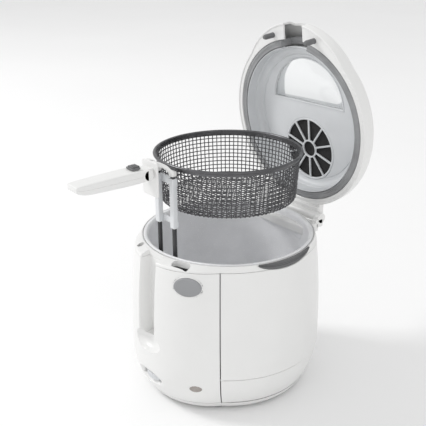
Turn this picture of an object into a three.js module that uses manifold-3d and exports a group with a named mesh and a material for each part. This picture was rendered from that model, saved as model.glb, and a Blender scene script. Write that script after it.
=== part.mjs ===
// Compact deep fryer: round body with a bulged control column, lift-out wire basket on
// two guide rods, fold-down basket handle, hinged lid with a window and a round filter.
// Millimetres, +Z up. The bowl's axis is vertical; the front (the control column) faces -Y.
import * as THREE from "three";
import { mergeVertices } from "three/addons/utils/BufferGeometryUtils.js";
import Module from "manifold-3d";

const wasm = await Module();
wasm.setup();

// ---------------------------------------------------------------- driving dimensions
const GAP = 0.3; // clearance between pieces that touch
const RING_STEPS = 40; // facets round a large circle

// Body
const RIM_Z = 212; // top of the bowl's flange above the table
const BODY_R = 124; // widest radius of the round shell
const COLUMN_PROUD = 14; // how far the control column stands out in front of the round shell
const PANEL_FRONT = BODY_R + COLUMN_PROUD;
const PANEL_HALF_WIDTH = 88; // half the width of the control column at its seams
const WALL = 2.6; // moulded walls
const FOOT_H = 4;
const TRAY_TOP = 14;
const BELLY_LOW = 60; // the side is straight between these two heights
const BELLY_HIGH = 85;
const TOP_NARROWING = 0.056; // share of the radius lost at the rim
const BOTTOM_NARROWING = 0.16; // share of the radius lost at the tray's underside

// Bowl
const BOWL_R = 106; // inside radius
const BOWL_FLANGE_R = BOWL_R + 6.5;
const BOWL_T = 1.5;
const BOWL_DEPTH = 128;
const BOWL_FILLET = 8;

// Collar round the bowl
const COLLAR_T = 8.7;
const COLLAR_DROP = 6; // how much lower the collar's outer edge is than the flange
const LEDGE_W = 4; // shelf the bowl's flange hangs on

// Handle groove, finger scoop, dial pocket
const GROOVE_HALF = 16;
const GROOVE_FLOOR = PANEL_FRONT - 22; // distance of the groove's floor from the bowl's axis
const GROOVE_BOTTOM = 96;
const SCOOP = { z: 93, halfWidth: 26, halfHeight: 13, depth: 13 };
const DIAL = { r: 22, t: 8, z: 40, bore: 3.2, teeth: 30 };
const DIAL_Y = PANEL_FRONT - 4 - DIAL.r; // its rim stands just behind the column's face
const POCKET = { halfWidth: 25, halfHeight: 11, depth: 9 };

// Release button, latch and pilot light on the column
const BUTTON = { x: 61, z: RIM_Z - 27, halfWidth: 17.5, halfHeight: 12, t: 7 };
const PILOT = { x: 68, z: 44, halfWidth: 8, halfHeight: 4.5 };
const PEG = { x: 37.5, y: GROOVE_FLOOR - 1.5, r: 3.6, tip: RIM_Z - 16 };

// Side grips
const SOCKET_LENGTH = 15; // the right peg's socket is long, so only the left peg places the lid
const GRIP = { halfSpan: 46, depth: 13 };

// Lid
const HINGE_Y = BODY_R + 6;
const HINGE_Z = RIM_Z - 5;
const HINGE_BORE = 2.9;
const BARREL_R = 6.5;
const LID_OPEN_DEG = 84;
const LID_DOME = 41;
const LID_OVERHANG = 3.4; // how far the lid's edge stands out past the collar
const LID_SKIRT_Z = RIM_Z + 0.4;
const LID_SPRING_Z = RIM_Z + 10; // where the skirt turns into the dome
const CROWN = { r: BODY_R - 0.1, forward: 6.5 }; // the plain circle the lid's outline runs into as it rises
const DISH_R = BOWL_R - 5.5;
const DISH_DEPTH = 22;
const DISH_T = 1.2;
const GASKET = { inner: DISH_R + 1.8, outer: BOWL_FLANGE_R - 1, low: RIM_Z + 0.8, high: RIM_Z + 8 };
const WINDOW = { straightY: -22, arcY: -82, halfWidth: 64, frame: 1.8 };
const FILTER = { y: 46, r: 45.3, hub: 13, spokes: 10, spokeW: 2.4, padT: 4.5 };
const NOTCH_HALF = 17; // opening in the lid for the handle's neck

// Basket, frame and handle, drawn lifted out of the bowl
const BASKET_H = 61;
const BASKET_T = 0.8;
const BASKET_TOP = RIM_Z + 109; // rim height while lifted
const WIRE_R = 2;
const ROD = { x: 15.5, r: 2.8, low: RIM_Z - 20, high: BASKET_TOP - 9.9 };
const SLEEVE = { halfX: ROD.r + GAP + 1.1, halfY: ROD.r + GAP + 0.6, h: 64 };
const WALL_CLEAR = 1.72; // from the sleeves' corners to the bowl's wall
const ROD_Y = Math.sqrt((BOWL_R - WALL_CLEAR) ** 2 - (ROD.x + SLEEVE.halfX) ** 2) - SLEEVE.halfY;
const BASKET_R = ROD_Y - SLEEVE.halfY - 2.5;
const PIVOT = { y: GROOVE_FLOOR + 14, z: BASKET_TOP - 3, r: 2 };
const NECK_HALF = 9;
const HANDLE_HALF = 13;
const HANDLE_LENGTH = 95; // pivot to tip

// Heater and its pan
const PLATE = { r: 85, t: 5 };
const ELEMENT = { r: 60, tube: 4 };
const PAN_R = BOWL_R + 4.4;
const OVER = RIM_Z + 100; // cuts through the lid and the collar run up to here
const UNDER = RIM_Z - 62;

// ---------------------------------------------------------------- materials
const paint = (color, roughness, metalness = 0) =>
  new THREE.MeshStandardMaterial({ color, roughness, metalness });
const whitePlastic = paint(0xf3f3f1, 0.35);
const lightGrey = paint(0xd5d8da, 0.4);
const darkGrey = paint(0x5b5d60, 0.5);
const midGrey = paint(0x9c9ea1, 0.45);
const rubber = paint(0x77797b, 0.75);
const blackFoam = paint(0x1b1a1c, 0.9);
const bowlMetal = paint(0xb9bbc2, 0.35, 0.7);
const steelWire = paint(0xc9cbcc, 0.25, 1);
const darkWire = paint(0x6d6e70, 0.35, 1);
const sheetMetal = paint(0xbfc1c3, 0.35, 1);
const darkMetal = paint(0x4c4a48, 0.5, 0.8);
const glass = paint(0xf4f8fa, 0.05);
const smokedLens = paint(0x6e4a38, 0.2);
const blackPlastic = paint(0x242426, 0.5);

// ---------------------------------------------------------------- solids from three.js geometry
function solidOf(geometry) {
  const bare = new THREE.BufferGeometry();
  bare.setAttribute("position", geometry.getAttribute("position").clone());
  if (geometry.index) bare.setIndex(geometry.index.clone());
  const merged = mergeVertices(bare, 1e-3);
  const vertProperties = merged.attributes.position.array;
  const corners = [];
  for (let i = 0; i < merged.index.count; i += 3) {
    const [a, b, c] = [0, 1, 2].map((k) => merged.index.getX(i + k));
    if (a !== b && b !== c && c !== a) corners.push(a, b, c);
  }
  const make = (list) =>
    new wasm.Manifold(new wasm.Mesh({ numProp: 3, vertProperties, triVerts: new Uint32Array(list) }));
  const made = make(corners);
  if (made.volume() > 0) return made;
  for (let i = 0; i < corners.length; i += 3) {
    [corners[i + 1], corners[i + 2]] = [corners[i + 2], corners[i + 1]];
  }
  return make(corners);
}

function geometryOf(solid) {
  const mesh = solid.getMesh();
  const position = new Float32Array(mesh.numVert * 3);
  for (let i = 0; i < mesh.numVert; i += 1) {
    position.set(mesh.vertProperties.subarray(i * mesh.numProp, i * mesh.numProp + 3), i * 3);
  }
  const geometry = new THREE.BufferGeometry();
  geometry.setAttribute("position", new THREE.BufferAttribute(position, 3));
  geometry.setIndex(new THREE.BufferAttribute(new Uint32Array(mesh.triVerts), 1));
  geometry.computeVertexNormals();
  return geometry;
}

function box(x0, x1, y0, y1, z0, z1) {
  const geometry = new THREE.BoxGeometry(x1 - x0, y1 - y0, z1 - z0);
  return solidOf(geometry.translate((x0 + x1) / 2, (y0 + y1) / 2, (z0 + z1) / 2));
}

function post(x, y, r, z0, z1, steps = 16) {
  const geometry = new THREE.CylinderGeometry(r, r, z1 - z0, steps).rotateX(Math.PI / 2);
  return solidOf(geometry.translate(x, y, (z0 + z1) / 2));
}

// A round bar along X.
function crossBar(y, z, r, x0, x1, steps = 16) {
  const geometry = new THREE.CylinderGeometry(r, r, x1 - x0, steps).rotateZ(Math.PI / 2);
  return solidOf(geometry.translate((x0 + x1) / 2, y, z));
}

// A turned solid about the vertical axis from [radius, height] pairs.
function turned(profile, steps = RING_STEPS) {
  const points = profile.map(([r, z]) => new THREE.Vector2(r, z));
  if (profile[0][0] > 0) points.push(points[0].clone());
  return solidOf(new THREE.LatheGeometry(points, steps).rotateX(Math.PI / 2));
}

// A ball squashed to three half-axes.
function ellipsoid(x, y, z, a, b, c, steps = 16) {
  const geometry = new THREE.SphereGeometry(1, steps, steps / 2).rotateX(Math.PI / 2);
  return solidOf(geometry.scale(a, b, c).translate(x, y, z));
}

function plate(shape, z0, z1, curveSegments = 8) {
  const geometry = new THREE.ExtrudeGeometry(shape, { depth: z1 - z0, bevelEnabled: false, curveSegments });
  return solidOf(geometry.translate(0, 0, z0));
}

function ellipseShape(a, b) {
  return new THREE.Shape().absellipse(0, 0, a, b, 0, 2 * Math.PI);
}

function tube(points, r, steps, sides = 8, closed = false) {
  const extrudePath = new THREE.CatmullRomCurve3(
    points.map((p) => new THREE.Vector3(...p)),
    closed,
  );
  const section = new THREE.Shape().absarc(0, 0, r, 0, 2 * Math.PI);
  return solidOf(
    new THREE.ExtrudeGeometry(section, { steps, extrudePath, curveSegments: sides, bevelEnabled: false }),
  );
}

// Skins a row of loops, each a list of [x, y, z] with the same count. The ends are closed flat,
// or the row closes on itself.
function loft(loops, ring = false) {
  const n = loops[0].length;
  const index = [];
  const spans = ring ? loops.length : loops.length - 1;
  for (let i = 0; i < spans; i += 1) {
    const [a, b] = [i * n, ((i + 1) % loops.length) * n];
    for (let j = 0; j < n; j += 1) {
      const k = (j + 1) % n;
      index.push(a + j, a + k, b + k, a + j, b + k, b + j);
    }
  }
  if (!ring) {
    const flat = flatten(loops[0]);
    const faces = THREE.ShapeUtils.triangulateShape(flat, []);
    const turn = THREE.ShapeUtils.isClockWise(flat) ? -1 : 1;
    const last = (loops.length - 1) * n;
    for (const [p, q, r] of faces) {
      if (turn > 0) index.push(p, r, q, last + p, last + q, last + r);
      else index.push(p, q, r, last + p, last + r, last + q);
    }
  }
  const geometry = new THREE.BufferGeometry();
  geometry.setAttribute("position", new THREE.Float32BufferAttribute(loops.flat(2), 3));
  geometry.setIndex(index);
  return solidOf(ringwise(geometry, index, loops, ring));
}

// A loop's own plane as 2-D points, for closing its end.
function flatten(loop) {
  const points = loop.map((p) => new THREE.Vector3(...p));
  const normal = new THREE.Vector3();
  points.forEach((p, i) => {
    const q = points[(i + 1) % points.length];
    normal.add(new THREE.Vector3().crossVectors(p, q));
  });
  normal.normalize();
  const u = new THREE.Vector3().subVectors(points[1], points[0]).normalize();
  const v = new THREE.Vector3().crossVectors(normal, u);
  return points.map((p) => new THREE.Vector2(p.dot(u), p.dot(v)));
}

// The end caps are wound to match the sides.
function ringwise(geometry, index, loops, ring) {
  if (ring) return geometry;
  const sides = (loops.length - 1) * loops[0].length * 6;
  const used = new Set();
  for (let i = 0; i < sides; i += 3) {
    for (let k = 0; k < 3; k += 1) used.add(`${index[i + k]},${index[i + ((k + 1) % 3)]}`);
  }
  const caps = index.slice(sides);
  const clashes = caps.some((_, i) => {
    const base = i - (i % 3);
    return used.has(`${caps[i]},${caps[base + ((i - base + 1) % 3)]}`);
  });
  if (clashes) {
    for (let i = sides; i < index.length; i += 3) {
      [index[i + 1], index[i + 2]] = [index[i + 2], index[i + 1]];
    }
    geometry.setIndex(index);
  }
  return geometry;
}

const union = (...solids) => solids.reduce((a, b) => a.add(b));
const moved = (solid, x, y, z) => solid.translate([x, y, z]);
const mirrorX = (solid) => solid.mirror([1, 0, 0]);


// ---------------------------------------------------------------- the body's outer form
const SEAM = Math.atan2(PANEL_HALF_WIDTH, Math.sqrt(BODY_R ** 2 - PANEL_HALF_WIDTH ** 2));
const seamInset = PANEL_FRONT - BODY_R * Math.cos(SEAM);
const PANEL_R = (PANEL_HALF_WIDTH ** 2 + seamInset ** 2) / (2 * seamInset);
const PANEL_CENTRE = PANEL_FRONT - PANEL_R; // the column's arc is centred this far in front of the axis

// Radius of the outline in the direction theta, counted from the front towards +X.
function outline(theta) {
  const t = Math.abs(Math.atan2(Math.sin(theta), Math.cos(theta)));
  if (t >= SEAM) return BODY_R;
  return PANEL_CENTRE * Math.cos(t) + Math.sqrt(PANEL_R ** 2 - (PANEL_CENTRE * Math.sin(t)) ** 2);
}

// How much narrower than the outline the side is at a height.
function sideScale(z) {
  if (z > BELLY_HIGH) return 1 - TOP_NARROWING * ((z - BELLY_HIGH) / (RIM_Z - BELLY_HIGH - 6)) ** 2;
  if (z < BELLY_LOW) return 1 - BOTTOM_NARROWING * ((BELLY_LOW - z) / (BELLY_LOW - FOOT_H)) ** 2;
  return 1;
}

const onSide = (theta, z, inset = 0) => {
  const r = outline(theta) * sideScale(z) - inset;
  return [r * Math.sin(theta), -r * Math.cos(theta), z];
};

// The solid inside the outer form between two angles, inset by a distance.
function form(from, to, heights, inset, steps) {
  const angles = Array.from({ length: steps + 1 }, (_, i) => from + ((to - from) * i) / steps);
  return loft(heights.map((z) => [...angles.map((a) => onSide(a, z, inset)), [0, 0, z]]));
}

// A wall with the outer form's face, between two angles.
function wallPiece(from, to, heights, steps, thickness) {
  const loops = [];
  for (let i = 0; i <= steps; i += 1) {
    const a = from + ((to - from) * i) / steps;
    const outer = heights.map((z) => onSide(a, z));
    const inner = heights.map((z) => onSide(a, z, thickness)).reverse();
    loops.push([...outer, ...inner]);
  }
  return loft(loops);
}

// Directions all the way round, with one on each seam.
const [FRONT_STEPS, BACK_STEPS] = [14, 28];
const AROUND = [
  ...Array.from({ length: FRONT_STEPS }, (_, i) => SEAM * ((2 * i) / FRONT_STEPS - 1)),
  ...Array.from({ length: BACK_STEPS }, (_, i) => SEAM + (2 * (Math.PI - SEAM) * i) / BACK_STEPS),
];

function fullForm(heights, inset) {
  return loft(heights.map((z) => AROUND.map((a) => onSide(a, z, inset))));
}

const COLLAR_LOW = RIM_Z - COLLAR_T;
const UPPER_STEP = BELLY_HIGH + (COLLAR_LOW - BELLY_HIGH) * 0.36;
const SIDE_HEIGHTS = [TRAY_TOP + 0.6, 23, 34, 46, BELLY_LOW, BELLY_HIGH, UPPER_STEP, 2 * UPPER_STEP - BELLY_HIGH, COLLAR_LOW - GAP];

// The direction square to the column's face at a given x, as an angle from -Y.
const panelAngle = (x) => Math.asin(x / PANEL_R);
const panelPoint = (x, z, out = 0) => {
  const a = panelAngle(x);
  const shrink = sideScale(z);
  return [
    x * shrink + out * Math.sin(a),
    -(PANEL_CENTRE + PANEL_R * Math.cos(a)) * shrink - out * Math.cos(a),
    z,
  ];
};

// An outline pushed square through the column's face at (x, z): depth in, height out.
function throughPanel(shape, x, z, inward, outward) {
  const [px, py] = panelPoint(x, z);
  const solid = plate(shape, -inward, outward, 10);
  const a = THREE.MathUtils.radToDeg(panelAngle(x));
  return solid.rotate([90, 0, 0]).rotate([0, 0, a]).translate([px, py, z]);
}

// ---------------------------------------------------------------- body pieces
function baseTray() {
  const heights = [FOOT_H, 8, TRAY_TOP];
  const outer = fullForm(heights, 0);
  const inner = fullForm([FOOT_H + WALL, TRAY_TOP + 1], WALL);
  let tray = outer.subtract(inner);
  for (const angle of TOWER_ANGLES) {
    const [x, y] = [TOWER_RADIUS * Math.sin(angle), -TOWER_RADIUS * Math.cos(angle)];
    tray = tray.add(post(x, y, 5, FOOT_H + 1, PAN_FLOOR - DISH_T - GAP, 10));
  }
  for (const [x, y] of FOOT_PLACES) tray = tray.subtract(post(x, y, 4 + GAP, 0, 20, 12));
  for (const [x, y] of SCREW_PLACES) {
    tray = tray.add(post(x, y, 6, FOOT_H + 1, TRAY_TOP, 10)).subtract(post(x, y, 2 + GAP, 0, 20, 10));
    tray = tray.subtract(post(x, y, 4 + GAP, 0, FOOT_H + 3, 10));
  }
  return tray;
}

function foot([x, y]) {
  const solid = turned([[0, 0], [7.2, 0], [8, 0.8], [8, FOOT_H - GAP], [4, FOOT_H - GAP], [4, FOOT_H + 5], [0, FOOT_H + 5]], 14);
  return moved(solid, x, y, 0);
}

function baseScrew([x, y]) {
  return union(post(x, y, 4, FOOT_H + 0.5, FOOT_H + 3 - GAP, 10), post(x, y, 2, FOOT_H + 2, 24, 10));
}

function gripHollow() {
  const cylinder = new THREE.CylinderGeometry(1, 1, 2 * (BODY_R + 15 - BOWL_R), 28).rotateZ(Math.PI / 2);
  return solidOf(cylinder.scale(1, GRIP.halfSpan, GRIP.depth).translate(BODY_R + 15, 0, RIM_Z + 1));
}

// The part of a grip's hollow that the collar loses: all but the shelf the flange hangs on.
const gripCut = () => gripHollow().subtract(post(0, 0, BOWL_FLANGE_R + 1.5, 0, OVER, RING_STEPS));

function outerHousing() {
  let wall = wallPiece(SEAM + 0.003, 2 * Math.PI - SEAM - 0.003, SIDE_HEIGHTS, BACK_STEPS, WALL);
  wall = wall.subtract(gripHollow()).subtract(mirrorX(gripHollow()));
  return wall.subtract(atGland(post(0, 0, GLAND.r, -12, 12)));
}

// Turns a solid made about the vertical axis to stand square on the rear wall.
const atGland = (solid) =>
  solid.rotate([-90 - GLAND.tilt, 0, 0]).translate([0, BODY_R * sideScale(GLAND.z), GLAND.z]);

// A grip's cup: a curved trough under the collar's cut, with an apron up to the bowl's flange.
function grip() {
  const inner = BOWL_FLANGE_R + 1.5 + GAP;
  const [skin, reach, stations] = [1.7, GRIP.halfSpan - 4, 14];
  const loops = [];
  for (let i = 0; i <= stations; i += 1) {
    const y = reach * ((2 * i) / stations - 1);
    const low = RIM_Z + 1 - GRIP.depth * Math.sqrt(1 - (y / GRIP.halfSpan) ** 2) + GAP;
    const [x0, x1, x2] = [inner, inner + skin, BODY_R * LID_SCALE - 0.6].map((r) => Math.sqrt(r * r - y * y));
    const top = RIM_Z - 1.5;
    const profile = [[x0, low], [x2, low], [x2, low + skin], [x1, low + skin], [x1, top], [x0, top]];
    loops.push(profile.map(([x, z]) => [x, y, z]));
  }
  return loft(loops);
}

function frontPanel() {
  const reach = SEAM - 0.003;
  let panel = wallPiece(-reach, reach, SIDE_HEIGHTS, FRONT_STEPS, WALL);
  const body = form(-reach, reach, SIDE_HEIGHTS, 0.01, FRONT_STEPS);
  const top = COLLAR_LOW - GAP;
  const skin = 2;
  const trough = box(-GROOVE_HALF - skin, GROOVE_HALF + skin, -200, -GROOVE_FLOOR + skin, GROOVE_BOTTOM, top);
  const scoop = (grow) =>
    ellipsoid(0, -PANEL_FRONT, SCOOP.z, SCOOP.halfWidth + grow, SCOOP.depth + grow, SCOOP.halfHeight + grow);
  const pocketY = -PANEL_FRONT * sideScale(DIAL.z);
  const pocket = (grow) =>
    ellipsoid(0, pocketY, DIAL.z, POCKET.halfWidth + grow, POCKET.depth + grow, POCKET.halfHeight + grow);
  panel = panel.add(union(trough, scoop(skin), pocket(skin)).intersect(body));
  const groove = box(-GROOVE_HALF, GROOVE_HALF, -200, -GROOVE_FLOOR, GROOVE_BOTTOM, OVER);
  panel = panel.subtract(union(groove, scoop(0), pocket(0)));
  const wheelRoom = post(0, -DIAL_Y, DIAL.r + 0.8, DIAL.z - DIAL.t / 2 - 0.8, DIAL.z + DIAL.t / 2 + 0.8, 28);
  panel = panel.subtract(wheelRoom);
  const buttonHole = throughPanel(ellipseShape(BUTTON.halfWidth + 0.5, BUTTON.halfHeight + 0.5), BUTTON.x, BUTTON.z, 12, 12);
  const pilotHole = throughPanel(ellipseShape(PILOT.halfWidth + GAP, PILOT.halfHeight + GAP), PILOT.x, PILOT.z, 12, 12);
  return panel.subtract(buttonHole).subtract(pilotHole);
}

const LID_SCALE = sideScale(RIM_Z - COLLAR_DROP);
const lidOutline = (theta) => outline(theta) * LID_SCALE;

function rimCollar() {
  const ledge = RIM_Z - 2.6;
  const inner = BOWL_FLANGE_R + 1.1;
  const loops = AROUND.map((a) => {
    const outer = lidOutline(a);
    const profile = [
      [inner - LEDGE_W, COLLAR_LOW],
      [inner - LEDGE_W, ledge],
      [inner, ledge],
      [inner, RIM_Z - 0.8],
      [inner + 1.6, RIM_Z - 0.6],
      [outer - 1.6, RIM_Z - COLLAR_DROP + 1],
      [outer, RIM_Z - COLLAR_DROP - 0.8],
      [outer, COLLAR_LOW],
    ];
    return profile.map(([r, z]) => [r * Math.sin(a), -r * Math.cos(a), z]);
  });
  let collar = loft(loops, true);
  collar = collar.subtract(box(-GROOVE_HALF, GROOVE_HALF, -200, -GROOVE_FLOOR, UNDER, OVER));
  collar = collar.subtract(gripCut()).subtract(mirrorX(gripCut()));
  const room = PEG.r + 1;
  const roundSocket = post(-PEG.x, -PEG.y, room, UNDER, OVER, 14);
  const slotEnd = (x) => post(x, 0, room + 0.3, UNDER, OVER, 14);
  const slot = union(slotEnd(0), slotEnd(SOCKET_LENGTH), box(0, SOCKET_LENGTH, -room - 0.3, room + 0.3, UNDER, OVER));
  return collar.subtract(roundSocket).subtract(moved(slot.rotate([0, 0, 21]), PEG.x, -PEG.y, 0));
}

const BOWL_FLOOR = RIM_Z - BOWL_DEPTH;

function bowl() {
  const corner = (r, z, radius) =>
    [0, 30, 60, 90].map((d) => {
      const a = THREE.MathUtils.degToRad(d);
      return [r - BOWL_FILLET + radius * Math.sin(a), z + BOWL_FILLET - radius * Math.cos(a)];
    });
  const inside = [[0, BOWL_FLOOR], ...corner(BOWL_R, BOWL_FLOOR, BOWL_FILLET), [BOWL_R, RIM_Z - 4], [BOWL_R + 1.8, RIM_Z - 0.4]];
  const flange = [[BOWL_FLANGE_R - 0.4, RIM_Z], [BOWL_FLANGE_R, RIM_Z - 2], [BOWL_R + 3, RIM_Z - 2]];
  const outside = [
    [BOWL_R + BOWL_T, RIM_Z - 5],
    ...corner(BOWL_R, BOWL_FLOOR, BOWL_FILLET + BOWL_T).reverse(),
    [0, BOWL_FLOOR - BOWL_T],
  ];
  return turned([...inside, ...flange, ...outside]);
}

const PLATE_TOP = BOWL_FLOOR - BOWL_T - GAP;
const ELEMENT_Z = PLATE_TOP - PLATE.t - GAP - ELEMENT.tube;
const PAN_FLOOR = ELEMENT_Z - ELEMENT.tube - 3;
const TOWER_RADIUS = 78;
const TOWER_ANGLES = [45, 135, 225, 315].map(THREE.MathUtils.degToRad);
const FOOT_PLACES = [[-62, -70], [62, -70], [-62, 66], [62, 66]];
const SCREW_PLACES = [[-88, -28], [88, -28], [-40, 84], [40, 84]];
const GLAND = { r: 8, z: 34, tilt: 18 };
const TERMINAL_X = 10;

function innerPan() {
  const t = 0.8;
  const profile = [
    [12, PAN_FLOOR],
    [PAN_R - 7, PAN_FLOOR],
    [PAN_R - t, PAN_FLOOR + 6],
    [PAN_R - t, COLLAR_LOW - GAP],
    [PAN_R, COLLAR_LOW - GAP],
    [PAN_R, PAN_FLOOR + 5.6],
    [PAN_R - 6.7, PAN_FLOOR - t],
    [12, PAN_FLOOR - t],
  ];
  let pan = turned(profile);
  for (const side of [-1, 1]) pan = pan.subtract(post(side * TERMINAL_X, ELEMENT.r, ELEMENT.tube + 1, 0, ELEMENT_Z, 12));
  return pan;
}

function heatingElement() {
  const start = Math.asin(TERMINAL_X / ELEMENT.r);
  const arc = [];
  const turns = 14;
  for (let i = 0; i <= turns; i += 1) {
    const a = start + ((2 * Math.PI - 2 * start) * i) / turns;
    arc.push([ELEMENT.r * Math.sin(a), ELEMENT.r * Math.cos(a), ELEMENT_Z]);
  }
  const down = (side, z) => [side * TERMINAL_X, ELEMENT.r, z];
  const ring = tube(arc, ELEMENT.tube, 32, 4);
  const pin = (side) => post(down(side)[0], ELEMENT.r, ELEMENT.tube - 1, PAN_FLOOR - 14, ELEMENT_Z, 8);
  return union(ring, pin(-1), pin(1));
}

function dialWheel() {
  const shape = new THREE.Shape();
  const points = DIAL.teeth * 2;
  for (let i = 0; i <= points; i += 1) {
    const a = (2 * Math.PI * i) / points;
    const r = i % 2 ? DIAL.r : DIAL.r - 1;
    const [x, y] = [r * Math.cos(a), r * Math.sin(a)];
    if (i) shape.lineTo(x, y);
    else shape.moveTo(x, y);
  }
  shape.holes.push(new THREE.Path().absarc(0, 0, DIAL.bore, 0, 2 * Math.PI));
  return moved(plate(shape, DIAL.z - DIAL.t / 2, DIAL.z + DIAL.t / 2), 0, -DIAL_Y, 0);
}

const THERMOSTAT_LOW = DIAL.z + DIAL.t / 2 + 3;
const thermostat = () => box(-13, 13, -DIAL_Y + 4, -DIAL_Y + 28, THERMOSTAT_LOW, PAN_FLOOR - 2);
const dialShaft = () => post(0, -DIAL_Y, DIAL.bore - GAP, DIAL.z - DIAL.t / 2 - 2, THERMOSTAT_LOW + 6, 12);

function releaseButton() {
  const cap = throughPanel(ellipseShape(BUTTON.halfWidth, BUTTON.halfHeight), BUTTON.x, BUTTON.z, BUTTON.t - 1.5, 1.5);
  const stem = throughPanel(ellipseShape(3, 3), BUTTON.x, BUTTON.z, 12.5, -3);
  const flag = new THREE.Shape();
  flag.moveTo(-3, 0).lineTo(3, 0).lineTo(3, 11.7).lineTo(-3, 11.7).closePath();
  return union(cap, stem, throughPanel(flag, BUTTON.x, BUTTON.z, 12.5, -10));
}

function latchSlide() {
  const bar = new THREE.Shape();
  bar.moveTo(-12.8, 12).lineTo(4, 12).lineTo(4, 15).lineTo(-12.8, 15).closePath();
  return throughPanel(bar, BUTTON.x, BUTTON.z, 12.5, -9.5);
}

function cordGland() {
  const [bore, barrel, flange] = [3.6, GLAND.r - GAP, GLAND.r + 2.5];
  return atGland(turned([[0, -11], [barrel, -11], [barrel, 1.2], [flange, 1.2], [flange, 3.5], [5, 10], [bore, 10], [bore, 5], [0, 5]], 16));
}

// The button's return spring, wound round the stem between the cap and the stem's end.
function buttonSpring() {
  const [turns, perTurn, coilR] = [3, 10, 5];
  const a = panelAngle(BUTTON.x);
  const [px, py, pz] = panelPoint(BUTTON.x, BUTTON.z);
  const points = [];
  for (let i = 0; i <= turns * perTurn; i += 1) {
    const w = (2 * Math.PI * i) / perTurn;
    const along = 6.2 + (i * 3.2) / (turns * perTurn);
    const [side, up] = [coilR * Math.cos(w), coilR * Math.sin(w)];
    points.push([
      px - along * Math.sin(a) + side * Math.cos(a),
      py + along * Math.cos(a) + side * Math.sin(a),
      pz + up,
    ]);
  }
  return tube(points, 0.6, 24, 3);
}

function hingeBracket() {
  const [outer, inner] = [47.5, 39];
  let bracket = box(-outer, outer, BOWL_R, HINGE_Y - 5, RIM_Z - 22, COLLAR_LOW - 1);
  for (const side of [-1, 1]) {
    const [x0, x1] = side < 0 ? [-outer, -inner] : [inner, outer];
    bracket = union(bracket, crossBar(HINGE_Y, HINGE_Z, BARREL_R + 0.8, x0, x1, 18));
    bracket = bracket.add(box(x0, x1, HINGE_Y - 11, HINGE_Y + 3, RIM_Z - 16, HINGE_Z));
  }
  bracket = bracket.subtract(box(-inner, inner, HINGE_Y - 8.5, HINGE_Y + 70, HINGE_Z - 8.5, OVER));
  bracket = bracket.subtract(crossBar(HINGE_Y, HINGE_Z, HINGE_BORE, -60, 60, 18));
  return bracket.subtract(fullForm([RIM_Z - 32, RIM_Z - 22, COLLAR_LOW, RIM_Z], -GAP));
}

// ---------------------------------------------------------------- lid pieces, drawn closed
function dome(inset, lowZ) {
  const ring = (z, scale, rise) =>
    AROUND.map((a) => {
      const plain = CROWN.forward * Math.cos(a) + Math.sqrt(CROWN.r ** 2 - (CROWN.forward * Math.sin(a)) ** 2);
      const r = ((lidOutline(a) + LID_OVERHANG) * (1 - rise) + plain * rise - inset) * scale;
      return [r * Math.sin(a), -r * Math.cos(a), z];
    });
  const loops = [ring(lowZ, 1, 0)];
  for (const d of [0, 20, 40, 58, 73, 84]) {
    const u = THREE.MathUtils.degToRad(d);
    loops.push(ring(LID_SPRING_Z + (LID_DOME - inset) * Math.sin(u), Math.cos(u) ** 0.8, Math.sin(u) ** 2));
  }
  return loft(loops);
}

function windowShape(grow) {
  const { straightY, arcY, halfWidth } = WINDOW;
  const shape = new THREE.Shape();
  shape.moveTo(-halfWidth - grow, straightY + grow);
  shape.absellipse(0, straightY + grow, halfWidth + grow, straightY - arcY + 2 * grow, Math.PI, 2 * Math.PI);
  shape.closePath();
  return shape;
}

const WINDOW_STEPS = 20;
const windowPlug = (grow, z0, z1) => plate(windowShape(grow), z0, z1, WINDOW_STEPS);

// Flat rim inside the lid's edge, from the shell's wall in to the gasket.
function lidRim() {
  const [low, high] = [LID_SKIRT_Z + 0.8, LID_SKIRT_Z + 0.8 + WALL];
  const across = 2 * PANEL_FRONT;
  const band = dome(WALL - 0.2, LID_SKIRT_Z).intersect(box(-across, across, -across, across, low, high));
  const holes = [-1, 1].map((side) => post(side * PEG.x, -PEG.y, PEG.r + GAP, UNDER, OVER, 12));
  return band.subtract(union(post(0, 0, GASKET.outer + 0.4, UNDER, OVER, RING_STEPS), ...holes));
}

function lidShell() {
  let shell = dome(0, LID_SKIRT_Z).subtract(dome(WALL, LID_SKIRT_Z - 1)).add(lidRim());
  shell = shell.subtract(windowPlug(WINDOW.frame + GAP, LID_SPRING_Z + 3, OVER));
  shell = shell.subtract(post(0, FILTER.y, VENT_R + GAP, LID_SPRING_Z + 3, OVER, 24));
  shell = shell.subtract(box(-NOTCH_HALF, NOTCH_HALF, -200, -DISH_R, UNDER, NOTCH_TOP));
  const reach = 38.7;
  const edge = BODY_R * LID_SCALE + 1;
  const tail = union(
    box(-reach, reach, edge, HINGE_Y, HINGE_Z + 2, HINGE_Z + 14),
    box(-reach, reach, DISH_R, edge + 1, LID_SKIRT_Z, HINGE_Z + 14).subtract(dome(WALL - 0.1, LID_SKIRT_Z - 9)),
  );
  const barrel = crossBar(HINGE_Y, HINGE_Z, BARREL_R, -reach, reach, 18);
  const barrelSkirt = box(-reach, reach, HINGE_Y - 6, HINGE_Y + 6, HINGE_Z + 1, HINGE_Z + 8);
  shell = union(shell, tail, barrel, barrelSkirt);
  return shell.subtract(crossBar(HINGE_Y, HINGE_Z, HINGE_BORE, -60, 60, 18));
}

const VENT_R = 26;
const NOTCH_TOP = RIM_Z + 21;
const DISH_LOW = RIM_Z + 1.8;
const DISH_FLOOR = DISH_LOW + DISH_DEPTH;

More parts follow.
